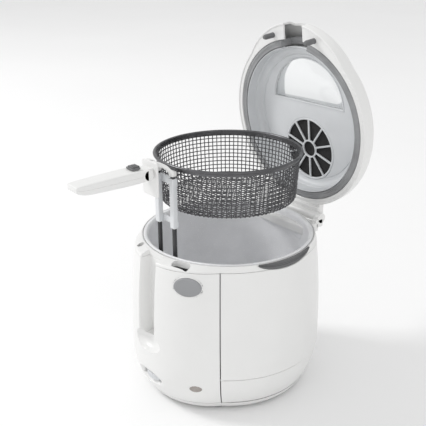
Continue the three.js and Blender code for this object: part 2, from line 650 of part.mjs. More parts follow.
function lidLiner() {
  const t = DISH_T;
  const flange = GASKET.high + 0.6;
  const profile = [
    [0, DISH_FLOOR],
    [DISH_R - 7, DISH_FLOOR],
    [DISH_R - 3, DISH_FLOOR - 2.5],
    [DISH_R - 1, DISH_FLOOR - 8],
    [DISH_R, DISH_LOW],
    [DISH_R + t, DISH_LOW],
    [DISH_R + t, flange],
    [BOWL_FLANGE_R, flange],
    [BOWL_FLANGE_R, flange + t],
    [DISH_R + 0.6, flange + t],
    [DISH_R + t - 1, DISH_FLOOR - 7.6],
    [DISH_R + t - 3.1, DISH_FLOOR - 1.6],
    [DISH_R - 6.6, DISH_FLOOR + t],
    [0, DISH_FLOOR + t],
  ];
  let liner = turned(profile);
  liner = liner.subtract(windowPlug(WINDOW.frame + GAP, LID_SPRING_Z + 3, OVER));
  liner = liner.subtract(post(0, FILTER.y, FILTER.r + GAP, LID_SPRING_Z + 3, OVER, 32));
  const arch = ARCH_HALF + 2 + GAP;
  return liner.subtract(box(-arch, arch, -200, -DISH_R + 6, UNDER, flange + t + 1));
}

const ARCH_HALF = 22; // the gasket bridges the basket's arms over this half width
const ARCH_TOP = RIM_Z + 18;

function lidGasket() {
  const { inner, outer, low, high } = GASKET;
  const ring = turned([[inner, low], [outer - 1.5, low], [outer, low + 2], [outer, high], [inner, high]]);
  const front = (half, z0, z1) => box(-half, half, -200, -DISH_R + 10, z0, z1);
  const bridge = turned([[inner, low + 2], [outer, low + 2], [outer, ARCH_TOP + 3], [inner, ARCH_TOP + 3]]);
  return ring.add(bridge.intersect(front(ARCH_HALF + 2, UNDER, OVER))).subtract(front(ARCH_HALF, UNDER, ARCH_TOP));
}

function windowFrame() {
  const tubeWall = windowPlug(WINDOW.frame, DISH_FLOOR - 1, OVER).subtract(windowPlug(0, UNDER, OVER + 20));
  return tubeWall.intersect(dome(-0.6, LID_SKIRT_Z));
}

const windowGlass = () => windowPlug(-GAP, DISH_FLOOR + 2, DISH_FLOOR + 5);

function filterGrille() {
  const [low, high] = [DISH_FLOOR - 0.8, DISH_FLOOR + 2];
  const ringPiece = (outer, inner, steps) =>
    post(0, 0, outer, low, high, steps).subtract(post(0, 0, inner, low - 1, high + 1, steps));
  let grille = union(ringPiece(FILTER.r, FILTER.r - 3, 32), ringPiece(FILTER.hub, FILTER.hub - 2, 20));
  for (let i = 0; i < FILTER.spokes; i += 1) {
    const spoke = box(FILTER.hub - 1, FILTER.r - 1, -FILTER.spokeW / 2, FILTER.spokeW / 2, low, high);
    grille = grille.add(spoke.rotate([0, 0, 18 + (360 * i) / FILTER.spokes]));
  }
  return moved(grille, 0, FILTER.y, 0);
}

const filterPad = () =>
  post(0, FILTER.y, FILTER.r - 0.6, DISH_FLOOR + 2.3, DISH_FLOOR + 2.3 + FILTER.padT, 28);

function filterChamber() {
  const [low, high] = [DISH_FLOOR + DISH_T + GAP, DISH_FLOOR + 2.3 + FILTER.padT + 1.2];
  const ring = post(0, FILTER.y, FILTER.r + 2.2, low, high, 32).subtract(post(0, FILTER.y, FILTER.r + GAP, UNDER, high - 0.8, 32));
  const opened = ring.subtract(post(0, FILTER.y, FILTER.r - 8, UNDER, OVER, 28));
  return opened.intersect(dome(WALL + GAP, LID_SKIRT_Z));
}

function ventCover() {
  const disc = post(0, FILTER.y, VENT_R, LID_SPRING_Z + 3, OVER, 24);
  let cover = dome(-0.8, LID_SKIRT_Z).subtract(dome(WALL, LID_SKIRT_Z - 1)).intersect(disc);
  for (let i = -2; i <= 2; i += 1) {
    const half = Math.sqrt((VENT_R - 4) ** 2 - (i * 8) ** 2);
    cover = cover.subtract(box(-half, half, FILTER.y + i * 8 - 1.5, FILTER.y + i * 8 + 1.5, LID_SPRING_Z, OVER));
  }
  return cover;
}

function lidPeg(side) {
  const stem = post(side * PEG.x, -PEG.y, PEG.r, PEG.tip + 1.5, LID_SPRING_Z + 2, 12);
  return union(stem, post(side * PEG.x, -PEG.y, PEG.r - 1, PEG.tip, PEG.tip + 2, 12));
}

// ---------------------------------------------------------------- basket, frame and handle
function hookBracket() {
  const { y, z } = PIVOT;
  const back = GROOVE_FLOOR + 2.7; // the plate comes down in front of the groove's floor
  const outerPlate = box(-GROOVE_HALF + 0.5, GROOVE_HALF - 0.5, -back - 2.5, -back, z - 30, z + 13);
  const arm = (side) => {
    const stations = [
      [5, back + 2.5, z + 10, 5],
      [7, back - 2.7, z + 10, 5],
      [11.5, (back + ROD_Y) / 2 - 1.2, z + 6, 4.5],
      [ROD.x, ROD_Y + 2.8, z - 1, SLEEVE.halfX],
      [ROD.x, ROD_Y - 3.1, z - 3.5, SLEEVE.halfX],
    ];
    return loft(
      stations.map(([x, dist, mid, half]) => {
        const [x0, x1] = [side * x - half, side * x + half];
        return [[x0, -dist, mid - 3], [x1, -dist, mid - 3], [x1, -dist, mid + 3], [x0, -dist, mid + 3]];
      }),
    );
  };
  const pad = (side) =>
    box(side * ROD.x - SLEEVE.halfX, side * ROD.x + SLEEVE.halfX, -ROD_Y - 3.9, -ROD_Y + 3.1, ROD.high + GAP, z - 3);
  const neck = union(
    box(-NECK_HALF, NECK_HALF, -y, -back - 2, z - 6.5, z + 6.5),
    crossBar(-y, z, 6.5, -NECK_HALF, NECK_HALF, 18),
  );
  const solid = union(outerPlate, arm(1), arm(-1), pad(1), pad(-1), neck);
  return solid.subtract(crossBar(-y, z, PIVOT.r + GAP, -30, 30, 14));
}

const rod = (side) => post(side * ROD.x, -ROD_Y, ROD.r, ROD.low + GAP, ROD.high, 12);

function rodFoot() {
  const bar = box(-ROD.x - 4, ROD.x + 4, -ROD_Y - 3, -ROD_Y + 4, ROD.low - 3, ROD.low + 1);
  const holes = [-1, 1].map((s) => post(s * ROD.x, -ROD_Y, ROD.r + GAP, ROD.low, OVER, 12));
  return bar.subtract(union(...holes));
}

const SLEEVE_TOP = ROD.high - 2.5;

function slideCarrier() {
  const { halfX, halfY, h } = SLEEVE;
  const low = SLEEVE_TOP - h;
  const sleeve = (s) => box(s * ROD.x - halfX, s * ROD.x + halfX, -ROD_Y - halfY, -ROD_Y + halfY, low, SLEEVE_TOP);
  const tie = (z0, z1) => box(-ROD.x - halfX, ROD.x + halfX, -ROD_Y + halfY - 0.5, -BASKET_R - 2.3, z0, z1);
  const bores = [-1, 1].map((s) => post(s * ROD.x, -ROD_Y, ROD.r + GAP, 0, OVER + 100, 12));
  return union(sleeve(-1), sleeve(1), tie(SLEEVE_TOP - 11, SLEEVE_TOP - 1), tie(low + 2, low + 10)).subtract(union(...bores));
}

function basketMesh() {
  const low = BASKET_TOP - BASKET_H;
  const [top, foot, t] = [BASKET_TOP - WIRE_R - 1, BASKET_R - 3.5, BASKET_T];
  return turned([
    [0, low],
    [foot - 10, low],
    [foot - 3, low + 3],
    [foot, low + 10],
    [BASKET_R - 0.4, top],
    [BASKET_R - 0.4 - t, top],
    [foot - t, low + 10.3],
    [foot - 4, low + 3.9],
    [foot - 10.4, low + t],
    [0, low + t],
  ]);
}

function wireRing(r, z, wire) {
  const geometry = new THREE.TorusGeometry(r, wire, 6, RING_STEPS);
  return solidOf(geometry.translate(0, 0, z));
}

function handleGrip() {
  const { y, z, r } = PIVOT;
  const h = HANDLE_HALF;
  const tip = y + HANDLE_LENGTH;
  const stations = [[y + 8, h, z - 7, z + 7], [y + 22, h, z - 7.5, z + 7.5], [tip - 16, h - 0.6, z - 6, z + 6.6], [tip - 1, h - 1.4, z - 2, z + 6]];
  const body = loft(
    stations.map(([dist, half, low, high]) => {
      const c = 2;
      return [
        [-half + c, -dist, low], [half - c, -dist, low], [half, -dist, low + c], [half, -dist, high - c],
        [half - c, -dist, high], [-half + c, -dist, high], [-half, -dist, high - c], [-half, -dist, low + c],
      ];
    }),
  );
  const fork = (s) => {
    const [x0, x1] = s < 0 ? [-h, -NECK_HALF - 0.5] : [NECK_HALF + 0.5, h];
    return union(box(x0, x1, -y - 9, -y, z - 6.5, z + 6.5), crossBar(-y, z, 6.5, x0, x1, 18));
  };
  const solid = union(body, fork(-1), fork(1));
  return solid.subtract(crossBar(-y, z, r + GAP, -30, 30, 14));
}

const SLIDER = { from: PIVOT.y + 7.5, to: PIVOT.y + 19, half: 7, low: 7.9, high: 12 };

function lockSlider() {
  const { from, to, half, low, high } = SLIDER;
  const z = PIVOT.z;
  return union(
    box(-half, half, -to, -from, z + low, z + high - 1.5),
    box(-half + 1.5, half - 1.5, -to + 1.5, -from - 1.5, z + low, z + high),
  );
}

// ---------------------------------------------------------------- assembly
const fryer = new THREE.Group();

function add(name, solid, material, parent = fryer) {
  const mesh = new THREE.Mesh(geometryOf(solid), material);
  mesh.name = name;
  parent.add(mesh);
  return mesh;
}

// Base and casing
add("base_tray", baseTray(), whitePlastic);
["front_left", "front_right", "rear_left", "rear_right"].forEach((place, i) => {
  add(`foot_${place}`, foot(FOOT_PLACES[i]), rubber);
});
SCREW_PLACES.forEach((place, i) => add(`base_screw_${i + 1}`, baseScrew(place), steelWire));
add("outer_housing", outerHousing(), whitePlastic);
add("front_panel", frontPanel(), whitePlastic);
add("rim_collar", rimCollar(), whitePlastic);
add("right_grip", grip(), darkGrey);
add("left_grip", mirrorX(grip()), darkGrey);
add("hinge_bracket", hingeBracket(), whitePlastic);
add("hinge_pin", crossBar(HINGE_Y, HINGE_Z, HINGE_BORE - GAP, -47, 47, 14), steelWire);

// Bowl and heater
add("bowl", bowl(), bowlMetal);
add("inner_pan", innerPan(), sheetMetal);
add("heat_plate", turned([[0, PLATE_TOP], [PLATE.r, PLATE_TOP], [PLATE.r, PLATE_TOP - PLATE.t], [0, PLATE_TOP - PLATE.t]], 32), sheetMetal);
add("heating_element", heatingElement(), darkMetal);
add("thermal_fuse", crossBar(0, PAN_FLOOR + 4.3, 3, 20, 38, 10), sheetMetal);

// Controls and wiring
add("thermostat", thermostat().subtract(post(0, -DIAL_Y, DIAL.bore + 1, 0, 100, 12)), blackPlastic);
add("thermostat_dial", dialWheel(), lightGrey);
add("dial_shaft", dialShaft(), steelWire);
add("pilot_lens", throughPanel(ellipseShape(PILOT.halfWidth, PILOT.halfHeight), PILOT.x, PILOT.z, WALL + 1, 0.8), smokedLens);
add("pilot_lamp", throughPanel(ellipseShape(3, 3), PILOT.x, PILOT.z, 14, -WALL - 1.4), glass);
add("terminal_block", box(-16, 16, 70, 84, FOOT_H + WALL + GAP, 26), blackPlastic);
const loomRoute = [
  [20, 76, 16],
  [34, 52, 12],
  [38, 10, 12],
  [38, -40, 14],
  [DIAL.r + 8, -DIAL_Y + DIAL.r + 14, 28],
  [17, -DIAL_Y + 20, THERMOSTAT_LOW + 7],
];
add("wiring_loom", tube(loomRoute, 2.2, 20, 4), blackPlastic);
add("cord_gland", cordGland(), blackPlastic);
add("release_button", releaseButton(), midGrey);
add("latch_slide", latchSlide(), lightGrey);
add("button_spring", buttonSpring(), steelWire);

// Lid, held open at its hinge
const hinge = new THREE.Group();
hinge.position.set(0, HINGE_Y, HINGE_Z);
hinge.rotation.x = -THREE.MathUtils.degToRad(LID_OPEN_DEG);
fryer.add(hinge);
const lid = new THREE.Group();
lid.position.set(0, -HINGE_Y, -HINGE_Z);
hinge.add(lid);
add("lid_shell", lidShell(), whitePlastic, lid);
add("lid_liner", lidLiner(), lightGrey, lid);
add("lid_gasket", lidGasket(), rubber, lid);
add("window_frame", windowFrame(), lightGrey, lid);
add("window_glass", windowGlass(), glass, lid);
add("filter_grille", filterGrille(), lightGrey, lid);
add("filter_pad", filterPad(), blackFoam, lid);
add("filter_chamber", filterChamber(), lightGrey, lid);
add("vent_cover", ventCover(), lightGrey, lid);
add("lid_peg_left", lidPeg(-1), darkGrey, lid);
add("lid_peg_right", lidPeg(1), darkGrey, lid);

// Basket on its frame
add("hook_bracket", hookBracket(), whitePlastic);
add("left_rod", rod(-1), darkMetal);
add("right_rod", rod(1), darkMetal);
add("rod_foot", rodFoot(), darkMetal);
add("slide_carrier", slideCarrier(), lightGrey);
add("basket_mesh", basketMesh(), darkWire);
add("basket_rim", wireRing(BASKET_R + 1.5, BASKET_TOP - 0.5, WIRE_R), darkWire);
add("handle_grip", handleGrip(), whitePlastic);
add("handle_pin", crossBar(-PIVOT.y, PIVOT.z, PIVOT.r, -HANDLE_HALF + 0.5, HANDLE_HALF - 0.5, 12), steelWire);
add("lock_slider", lockSlider(), darkGrey);

// The origin is under the middle of the whole object, on the table.
const extent = new THREE.Box3().setFromObject(fryer, true);
fryer.position.set(0, -(extent.min.y + extent.max.y) / 2, 0);

export default fryer;
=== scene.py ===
"""Compact deep fryer with a lift-out wire basket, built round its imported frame."""

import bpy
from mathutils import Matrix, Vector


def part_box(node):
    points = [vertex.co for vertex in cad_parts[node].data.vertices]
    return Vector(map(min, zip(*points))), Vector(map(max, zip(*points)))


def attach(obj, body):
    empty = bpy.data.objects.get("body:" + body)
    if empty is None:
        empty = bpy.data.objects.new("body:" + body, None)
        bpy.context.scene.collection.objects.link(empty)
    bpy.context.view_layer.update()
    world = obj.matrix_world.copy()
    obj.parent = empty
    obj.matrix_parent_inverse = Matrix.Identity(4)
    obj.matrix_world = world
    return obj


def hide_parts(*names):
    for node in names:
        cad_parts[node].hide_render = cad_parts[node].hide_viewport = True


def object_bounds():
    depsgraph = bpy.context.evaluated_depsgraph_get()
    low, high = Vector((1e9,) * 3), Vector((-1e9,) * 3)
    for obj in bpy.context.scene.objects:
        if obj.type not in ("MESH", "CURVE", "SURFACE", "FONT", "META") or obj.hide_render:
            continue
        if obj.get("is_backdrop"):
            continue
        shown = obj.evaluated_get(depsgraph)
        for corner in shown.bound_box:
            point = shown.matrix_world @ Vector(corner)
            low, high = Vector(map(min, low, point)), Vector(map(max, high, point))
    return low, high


bl_info = {
    "name": "Deep Fryer",
    "version": (1, 0, 0),
    "blender": (4, 5, 0),
    "location": "View3D > Sidebar > Fryer",
    "description": "Builds a compact deep fryer with a lift-out wire basket",
    "category": "Add Mesh",
}

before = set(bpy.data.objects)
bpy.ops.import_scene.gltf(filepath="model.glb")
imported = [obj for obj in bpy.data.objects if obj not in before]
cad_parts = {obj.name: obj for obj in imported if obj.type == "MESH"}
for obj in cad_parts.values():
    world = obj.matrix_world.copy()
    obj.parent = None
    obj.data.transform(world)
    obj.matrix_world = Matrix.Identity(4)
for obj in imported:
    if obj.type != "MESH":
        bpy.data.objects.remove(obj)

import math

import bmesh
import bpy
import numpy as np
from mathutils import Matrix, Vector

# ------------------------------------------------------------------ the frame's own sizes
MM = 0.001
CAD_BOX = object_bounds()


def node_box(name):
    """A node's corners at rest in millimetres."""
    low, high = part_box(name)
    return np.array(low) / MM, np.array(high) / MM


BOWL_LOW, BOWL_HIGH = node_box("bowl")
AXIS_Y = (BOWL_LOW[1] + BOWL_HIGH[1]) / 2
RIM_Z = BOWL_HIGH[2]

# Body, about the bowl's axis, in millimetres
SHELL_R = 124.0
BODY_R = SHELL_R - 0.25  # the drawn skin stays just inside the faceted shell's box
PANEL_FRONT = SHELL_R + 14
PANEL_HALF = 88.0
BELLY_LOW, BELLY_HIGH = 60.0, 85.0
TOP_NARROWING, BOTTOM_NARROWING = 0.056, 0.16
FOOT_TOP, TRAY_TOP, COLLAR_LOW = 4.0, 14.0, RIM_Z - 8.7
SEAM = math.asin(PANEL_HALF / BODY_R)
SEAM_INSET = PANEL_FRONT - BODY_R * math.cos(SEAM)
PANEL_R = (PANEL_HALF**2 + SEAM_INSET**2) / (2 * SEAM_INSET)
PANEL_C = PANEL_FRONT - PANEL_R
BOWL_R = 106.0
FLANGE_R = BOWL_R + 6.5
GROOVE_HALF, GROOVE_BOTTOM = 16.0, 96.0
GROOVE_FLOOR = PANEL_FRONT - 22
SEAM_GAP = 0.35  # from the housing to the column, the collar and the tray
SEAM_GAP_ANGLE = 0.0028
CREASE = 1.1  # the foot of the housing is this much narrower
CREASE_Z = 57.0
LINE_DEPTH = 2.0  # fine groove along the crease
GRIP_HALF, GRIP_DEPTH = 46.0, 13.0
SCOOP_Z, SCOOP_HALF, SCOOP_DEPTH = 93.0, 26.0, 13.0
SOCKET_LENGTH = 15.0
BUTTON_X, BUTTON_Z, BUTTON_HALF, BUTTON_TALL = 61.0, RIM_Z - 27, 17.5, 12.0
PILOT_X, PILOT_Z, PILOT_HALF, PILOT_TALL = 68.0, 44.0, 8.0, 4.5
DIAL_Z, DIAL_R, DIAL_T = 40.0, 22.0, 8.0
DIAL_Y = PANEL_FRONT - 4 - DIAL_R
POCKET_HALF, POCKET_TALL, POCKET_DEPTH = 25.0, 11.0, 9.0
PEG_X, PEG_Y, PEG_R = 37.5, GROOVE_FLOOR - 1.5, 3.6
FOOT_PLACES = [(-62, -70), (62, -70), (-62, 66), (62, 66)]
SCREW_PLACES = [(-88, -28), (88, -28), (-40, 84), (40, 84)]

# Lid, drawn closed and turned open about its hinge
HINGE_Y, HINGE_Z = SHELL_R + 6, RIM_Z - 5
LID_OPEN = math.radians(84)
LID_SKIRT, LID_SPRING, LID_DOME, LID_WALL = RIM_Z + 0.4, RIM_Z + 10, 41.0, 2.6
LID_OVERHANG, CROWN_R, CROWN_FORWARD = 3.15, BODY_R - 0.1, 6.5
TAIL_HALF = 38.7
DISH_R, DISH_LOW = BOWL_R - 5.5, RIM_Z + 1.8
DISH_FLOOR = DISH_LOW + 22
NOTCH_HALF = 17.0
ABOVE_LID = 300.0  # cuts up through the lid end here
WINDOW_Y, WINDOW_ARC, WINDOW_HALF = -22.0, 60.0, 64.0
FILTER_Y, FILTER_R, FILTER_HUB = 46.0, 45.3, 13.0
VENT_R = 26.0

# Basket, its frame and the handle, lifted
BASKET_TOP, BASKET_R = RIM_Z + 109, 92.5
BASKET_LOW = BASKET_TOP - 61
ROD_X, ROD_Y, ROD_R = 15.5, 98.7, 2.8
ROD_LOW, ROD_HIGH = RIM_Z - 19.7, BASKET_TOP - 9.9
PIVOT_Y, PIVOT_Z = GROOVE_FLOOR + 14, BASKET_TOP - 3
EYE_R = 6.4  # round the handle's pivot
NECK_HALF, HANDLE_HALF = 9.0, 13.0

# Stands a plate up so that its thickness runs from front to back
UPRIGHT = Matrix(((1, 0, 0, 0), (0, 0, -1, 0), (0, 1, 0, 0), (0, 0, 0, 1)))


# ------------------------------------------------------------------ shapes: (vertices, faces) in millimetres
def grid(rows, wrap=False, ring=False):
    """Skins an array of points [row, column, xyz]. wrap joins the columns' ends, ring the rows'."""
    rows = np.asarray(rows, float)
    n, m = rows.shape[:2]
    r = np.arange(n if ring else n - 1)[:, None]
    c = np.arange(m if wrap else m - 1)[None, :]
    r2, c2 = (r + 1) % n, (c + 1) % m
    faces = np.stack([r * m + c, r * m + c2, r2 * m + c2, r2 * m + c], axis=-1)
    return rows.reshape(-1, 3), faces.reshape(-1, 4).tolist()


def merged(*shapes):
    """Several shapes as one."""
    verts, faces, start = [], [], 0
    for v, f in shapes:
        verts.append(np.asarray(v, float))
        faces += [[i + start for i in face] for face in f]
        start += len(v)
    return np.concatenate(verts), faces


def capped(rows, wrap=True):
    """A skinned row of closed loops with both ends filled."""
    verts, faces = grid(rows, wrap=wrap)
    m = np.asarray(rows).shape[1]
    faces.append(list(range(m))[::-1])
    faces.append(list(range(len(verts) - m, len(verts))))
    return verts, faces


def moved(shape, x=0.0, y=0.0, z=0.0):
    """A shape shifted along the axes."""
    return np.asarray(shape[0]) + np.array([x, y, z]), shape[1]


def turned_by(shape, matrix):
    """A shape put through a 4 by 4 matrix."""
    v = np.asarray(shape[0])
    m = np.array(matrix)
    return v @ m[:3, :3].T + m[:3, 3], shape[1]


def mirrored(shape):
    """A shape turned into its twin on the other side."""
    return np.asarray(shape[0]) * np.array([-1.0, 1.0, 1.0]), [f[::-1] for f in shape[1]]


def rounded(points, radius, closed=False, steps=4):
    """A flat outline with its corners rounded. radius is one value or one for each point."""
    pts = [np.asarray(p, float) for p in points]
    n = len(pts)
    radii = [radius] * n if np.isscalar(radius) else list(radius)
    out = []
    for i, p in enumerate(pts):
        if radii[i] <= 0 or (not closed and i in (0, n - 1)):
            out.append(p)
            continue
        a, b = pts[i - 1] - p, pts[(i + 1) % n] - p
        la, lb = np.linalg.norm(a), np.linalg.norm(b)
        cut = min(radii[i], 0.49 * la, 0.49 * lb)
        start, end = p + a / la * cut, p + b / lb * cut
        for t in np.linspace(0, 1, steps + 1):
            out.append((1 - t) ** 2 * start + 2 * t * (1 - t) * p + t**2 * end)
    return np.array(out)


def turned(profile, steps=144, closed=True):
    """A solid of revolution about the upright axis from a profile of (radius, height)."""
    profile = np.asarray(profile, float)
    a = np.linspace(0, 2 * math.pi, steps, endpoint=False)
    rows = np.stack(
        [profile[:, :1] * np.sin(a), -profile[:, :1] * np.cos(a), np.repeat(profile[:, 1:], steps, 1)],
        axis=-1,
    )
    return grid(rows, wrap=True, ring=closed)


def circle(radius, sides):
    """A round outline."""
    a = np.linspace(0, 2 * math.pi, sides, endpoint=False)
    return np.stack([radius * np.cos(a), radius * np.sin(a)], axis=-1)


def oval(a, b, steps=64):
    """An oval outline with half-widths a and b."""
    t = np.linspace(0, 2 * math.pi, steps, endpoint=False)
    return np.stack([a * np.cos(t), b * np.sin(t)], axis=-1)


def rounded_box(half_x, half_y, radius, steps=5):
    """A rectangular outline with round corners."""
    corners = [(half_x, half_y), (-half_x, half_y), (-half_x, -half_y), (half_x, -half_y)]
    return rounded(corners, radius, closed=True, steps=steps)


def swept(section, path, closed=False, up=(0, 0, 1)):
    """A closed section carried along a path. The section's second axis starts along up."""
    path = np.asarray(path, float)
    section = np.asarray(section, float)
    if closed:
        ahead = np.roll(path, -1, 0) - np.roll(path, 1, 0)
    else:
        ahead = np.gradient(path, axis=0)
    ahead /= np.linalg.norm(ahead, axis=1)[:, None]
    v = np.asarray(up, float)
    rows = []
    for p, t in zip(path, ahead):
        v = v - t * v.dot(t)
        v /= np.linalg.norm(v)
        rows.append(p + section[:, :1] * np.cross(v, t) + section[:, 1:] * v)
    return grid(rows, wrap=True, ring=True) if closed else capped(rows)


def wire(path, radius, sides=8, closed=False, up=(0, 0, 1)):
    """A round wire along a path."""
    return swept(circle(radius, sides), path, closed, up)


def inset(outline, distance):
    """A closed flat outline moved inwards."""
    p = np.asarray(outline, float)
    ahead = np.roll(p, -1, 0) - np.roll(p, 1, 0)
    ahead /= np.linalg.norm(ahead, axis=1)[:, None]
    area = np.sum(p[:, 0] * np.roll(p[:, 1], -1) - np.roll(p[:, 0], -1) * p[:, 1])
    side = np.stack([-ahead[:, 1], ahead[:, 0]], axis=-1) * (1 if area > 0 else -1)
    return p + side * distance


def slab(outline, low, high, edge=0.5, steps=3):
    """A plate of a flat outline between two heights with rounded edges."""
    rows = []
    for t in np.linspace(0, math.pi / 2, steps + 1):
        ring = inset(outline, edge * (1 - math.sin(t)))
        rows.append(np.column_stack([ring, np.full(len(ring), low + edge * (1 - math.cos(t)))]))
    for t in np.linspace(math.pi / 2, 0, steps + 1):
        ring = inset(outline, edge * (1 - math.sin(t)))
        rows.append(np.column_stack([ring, np.full(len(ring), high - edge * (1 - math.cos(t)))]))
    return capped(np.array(rows))


def block(x0, x1, y0, y1, z0, z1, edge=0.6):
    """A box with rounded edges all round."""
    cx, cy = (x0 + x1) / 2, (y0 + y1) / 2
    outline = rounded_box((x1 - x0) / 2, (y1 - y0) / 2, edge * 1.6)
    return moved(slab(outline, z0, z1, edge), cx, cy)


def bar_x(y, z, radius, x0, x1, edge=0.5, steps=40):
    """A round bar along X with rounded ends."""
    shape = slab(circle(radius, steps), x0, x1, edge)
    spin = Matrix(((0, 0, 1, 0), (1, 0, 0, y), (0, 1, 0, z), (0, 0, 0, 1)))
    return turned_by(shape, spin)


def temporary(shape):
    """An object that stands in for a shape while it is cut."""
    mesh = bpy.data.meshes.new("cutting")
    mesh.from_pydata(np.asarray(shape[0]).tolist(), [], shape[1])
    bm = bmesh.new()
    bm.from_mesh(mesh)
    bmesh.ops.remove_doubles(bm, verts=bm.verts, dist=1e-4)
    bmesh.ops.recalc_face_normals(bm, faces=bm.faces)
    bm.to_mesh(mesh)
    bm.free()
    obj = bpy.data.objects.new("cutting", mesh)
    bpy.context.scene.collection.objects.link(obj)
    return obj


def cut(shape, *cutters):
    """Takes closed cutters away from a closed shape."""
    objs = [temporary(shape)] + [temporary(c) for c in cutters]
    for cutter in objs[1:]:
        step = objs[0].modifiers.new("cut", "BOOLEAN")
        step.operation = "DIFFERENCE"
        step.solver = "EXACT"
        step.object = cutter
    evaluated = objs[0].evaluated_get(bpy.context.evaluated_depsgraph_get())
    mesh = evaluated.to_mesh()
    result = np.array([v.co[:] for v in mesh.vertices]), [list(p.vertices) for p in mesh.polygons]
    evaluated.to_mesh_clear()
    for obj in objs:
        mesh = obj.data
        bpy.data.objects.remove(obj)
        bpy.data.meshes.remove(mesh)
    if not len(result[0]):
        raise RuntimeError("a cut left nothing")
    return result


def plain_name(node):
    """A node's name as words."""
    return node.replace("_", " ").capitalize()


def piece(name, shape, body, material, slot, hides=(), crease=35.0):
    """Makes one visible piece that rides on a body and stands for CAD nodes."""
    points = np.asarray(shape[0], float) * MM
    points[:, 1] += AXIS_Y * MM
    name = name.replace(" ", "_")
    mesh = bpy.data.meshes.new(name)
    mesh.from_pydata(points.tolist(), [], shape[1])
    bm = bmesh.new()
    bm.from_mesh(mesh)
    bmesh.ops.remove_doubles(bm, verts=bm.verts, dist=2e-6)
    bmesh.ops.recalc_face_normals(bm, faces=bm.faces)
    bm.to_mesh(mesh)
    bm.free()
    mesh.polygons.foreach_set("use_smooth", [True] * len(mesh.polygons))
    mesh.set_sharp_from_angle(angle=math.radians(crease))
    mesh.materials.append(material)
    obj = bpy.data.objects.new(name, mesh)
    bpy.context.scene.collection.objects.link(obj)
    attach(obj, body)
    if hides:
        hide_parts(*hides)
    return obj


def dress(node, material):
    """Gives a CAD node that stays in view its finished material."""
    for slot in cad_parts[node].material_slots:
        slot.material = material


# ------------------------------------------------------------------ the casing's form
def outline(theta):
    """Radius of the plan outline in the direction theta, from the front towards +X."""
    t = np.abs(np.arctan2(np.sin(theta), np.cos(theta)))
    front = PANEL_C * np.cos(t) + np.sqrt(np.maximum(PANEL_R**2 - (PANEL_C * np.sin(t)) ** 2, 0))
    return np.where(t >= SEAM, BODY_R, front)


def side_scale(z):
    """How much narrower the side is than the outline at a height."""
    z = np.asarray(z, float)
    top = TOP_NARROWING * (np.maximum(z - BELLY_HIGH, 0) / (RIM_Z - BELLY_HIGH - 6)) ** 2
    low = BOTTOM_NARROWING * (np.maximum(BELLY_LOW - z, 0) / (BELLY_LOW - FOOT_TOP)) ** 2
    return 1 - top - low


LID_SCALE = float(side_scale(RIM_Z - 6))


def around(front=72, back=150):
    """Directions all the way round, with one on each seam."""
    a = np.linspace(-SEAM, SEAM, front, endpoint=False)
    b = np.linspace(SEAM, 2 * math.pi - SEAM, back, endpoint=False)
    return np.concatenate([a, b])


def polar(r, theta, z):
    """Points at a radius, a direction and a height, each one value or an array."""
    r, theta, z = np.broadcast_arrays(r, theta, z)
    return np.stack([r * np.sin(theta), -r * np.cos(theta), z], axis=-1)


def smooth(x, low, high):
    """Eases from 0 at low to 1 at high."""
    t = np.clip((x - low) / (high - low), 0, 1)
    return t * t * (3 - 2 * t)


def rolled(g, radius, depth, steps=4):
    """Turns all four borders of an open skin inwards with a small radius."""
    for axis in (0, 0, 1, 1):
        g = np.flip(g, axis)
        a = g if axis == 0 else np.swapaxes(g, 0, 1)
        edge, before = a[-1], a[-2]
        out = edge - before
        out /= np.linalg.norm(out, axis=1)[:, None]
        along = np.gradient(edge, axis=0)
        inward = np.cross(out, along)
        inward /= np.linalg.norm(inward, axis=1)[:, None]
        middle = np.array([0.0, 0.0, edge[:, 2].mean()])
        flip = np.sign(np.sum(inward * (middle - edge), axis=1).mean())
        inward *= flip if flip else 1.0
        rows = [a[:-1]]
        for t in np.linspace(0, math.pi / 2, steps + 1):
            row = edge - out * radius * (1 - math.sin(t)) + inward * radius * (1 - math.cos(t))
            rows.append(row[None])
        rows.append((edge + inward * depth)[None])
        a = np.concatenate(rows)
        g = a if axis == 0 else np.swapaxes(a, 0, 1)
    return g


def on_panel(x, z, out=0.0):
    """Matrix that puts a flat shape on the control column's face, its height standing out."""
    a = math.asin(x / PANEL_R)
    s = float(side_scale(z))
    n = Vector((math.sin(a), -math.cos(a), 0))
    right = Vector((math.cos(a), math.sin(a), 0))
    up = Vector((0, 0, 1))
    at = Vector((x * s, -(PANEL_C + PANEL_R * math.cos(a)) * s, z)) + n * out
    return Matrix(
        (
            (right.x, up.x, n.x, at.x),
            (right.y, up.y, n.y, at.y),
            (right.z, up.z, n.z, at.z),
            (0, 0, 0, 1),
        )
    )


def opened(shape):
    """A lid shape drawn closed, turned open about the hinge."""
    turn = (
        Matrix.Translation((0, HINGE_Y, HINGE_Z))
        @ Matrix.Rotation(-LID_OPEN, 4, "X")
        @ Matrix.Translation((0, -HINGE_Y, -HINGE_Z))
    )
    return turned_by(shape, turn)


# ------------------------------------------------------------------ shader node groups
def node_group(name, inputs, outputs):
    """An empty shader group with named sockets, and its two end nodes."""
    tree = bpy.data.node_groups.new(name, "ShaderNodeTree")
    for label, kind, value in inputs:
        socket = tree.interface.new_socket(label, in_out="INPUT", socket_type=kind)
        if value is not None:
            socket.default_value = value
    for label, kind in outputs:
        tree.interface.new_socket(label, in_out="OUTPUT", socket_type=kind)
    return tree, tree.nodes.new("NodeGroupInput"), tree.nodes.new("NodeGroupOutput")


FLOAT, VECTOR = "NodeSocketFloat", "NodeSocketVector"


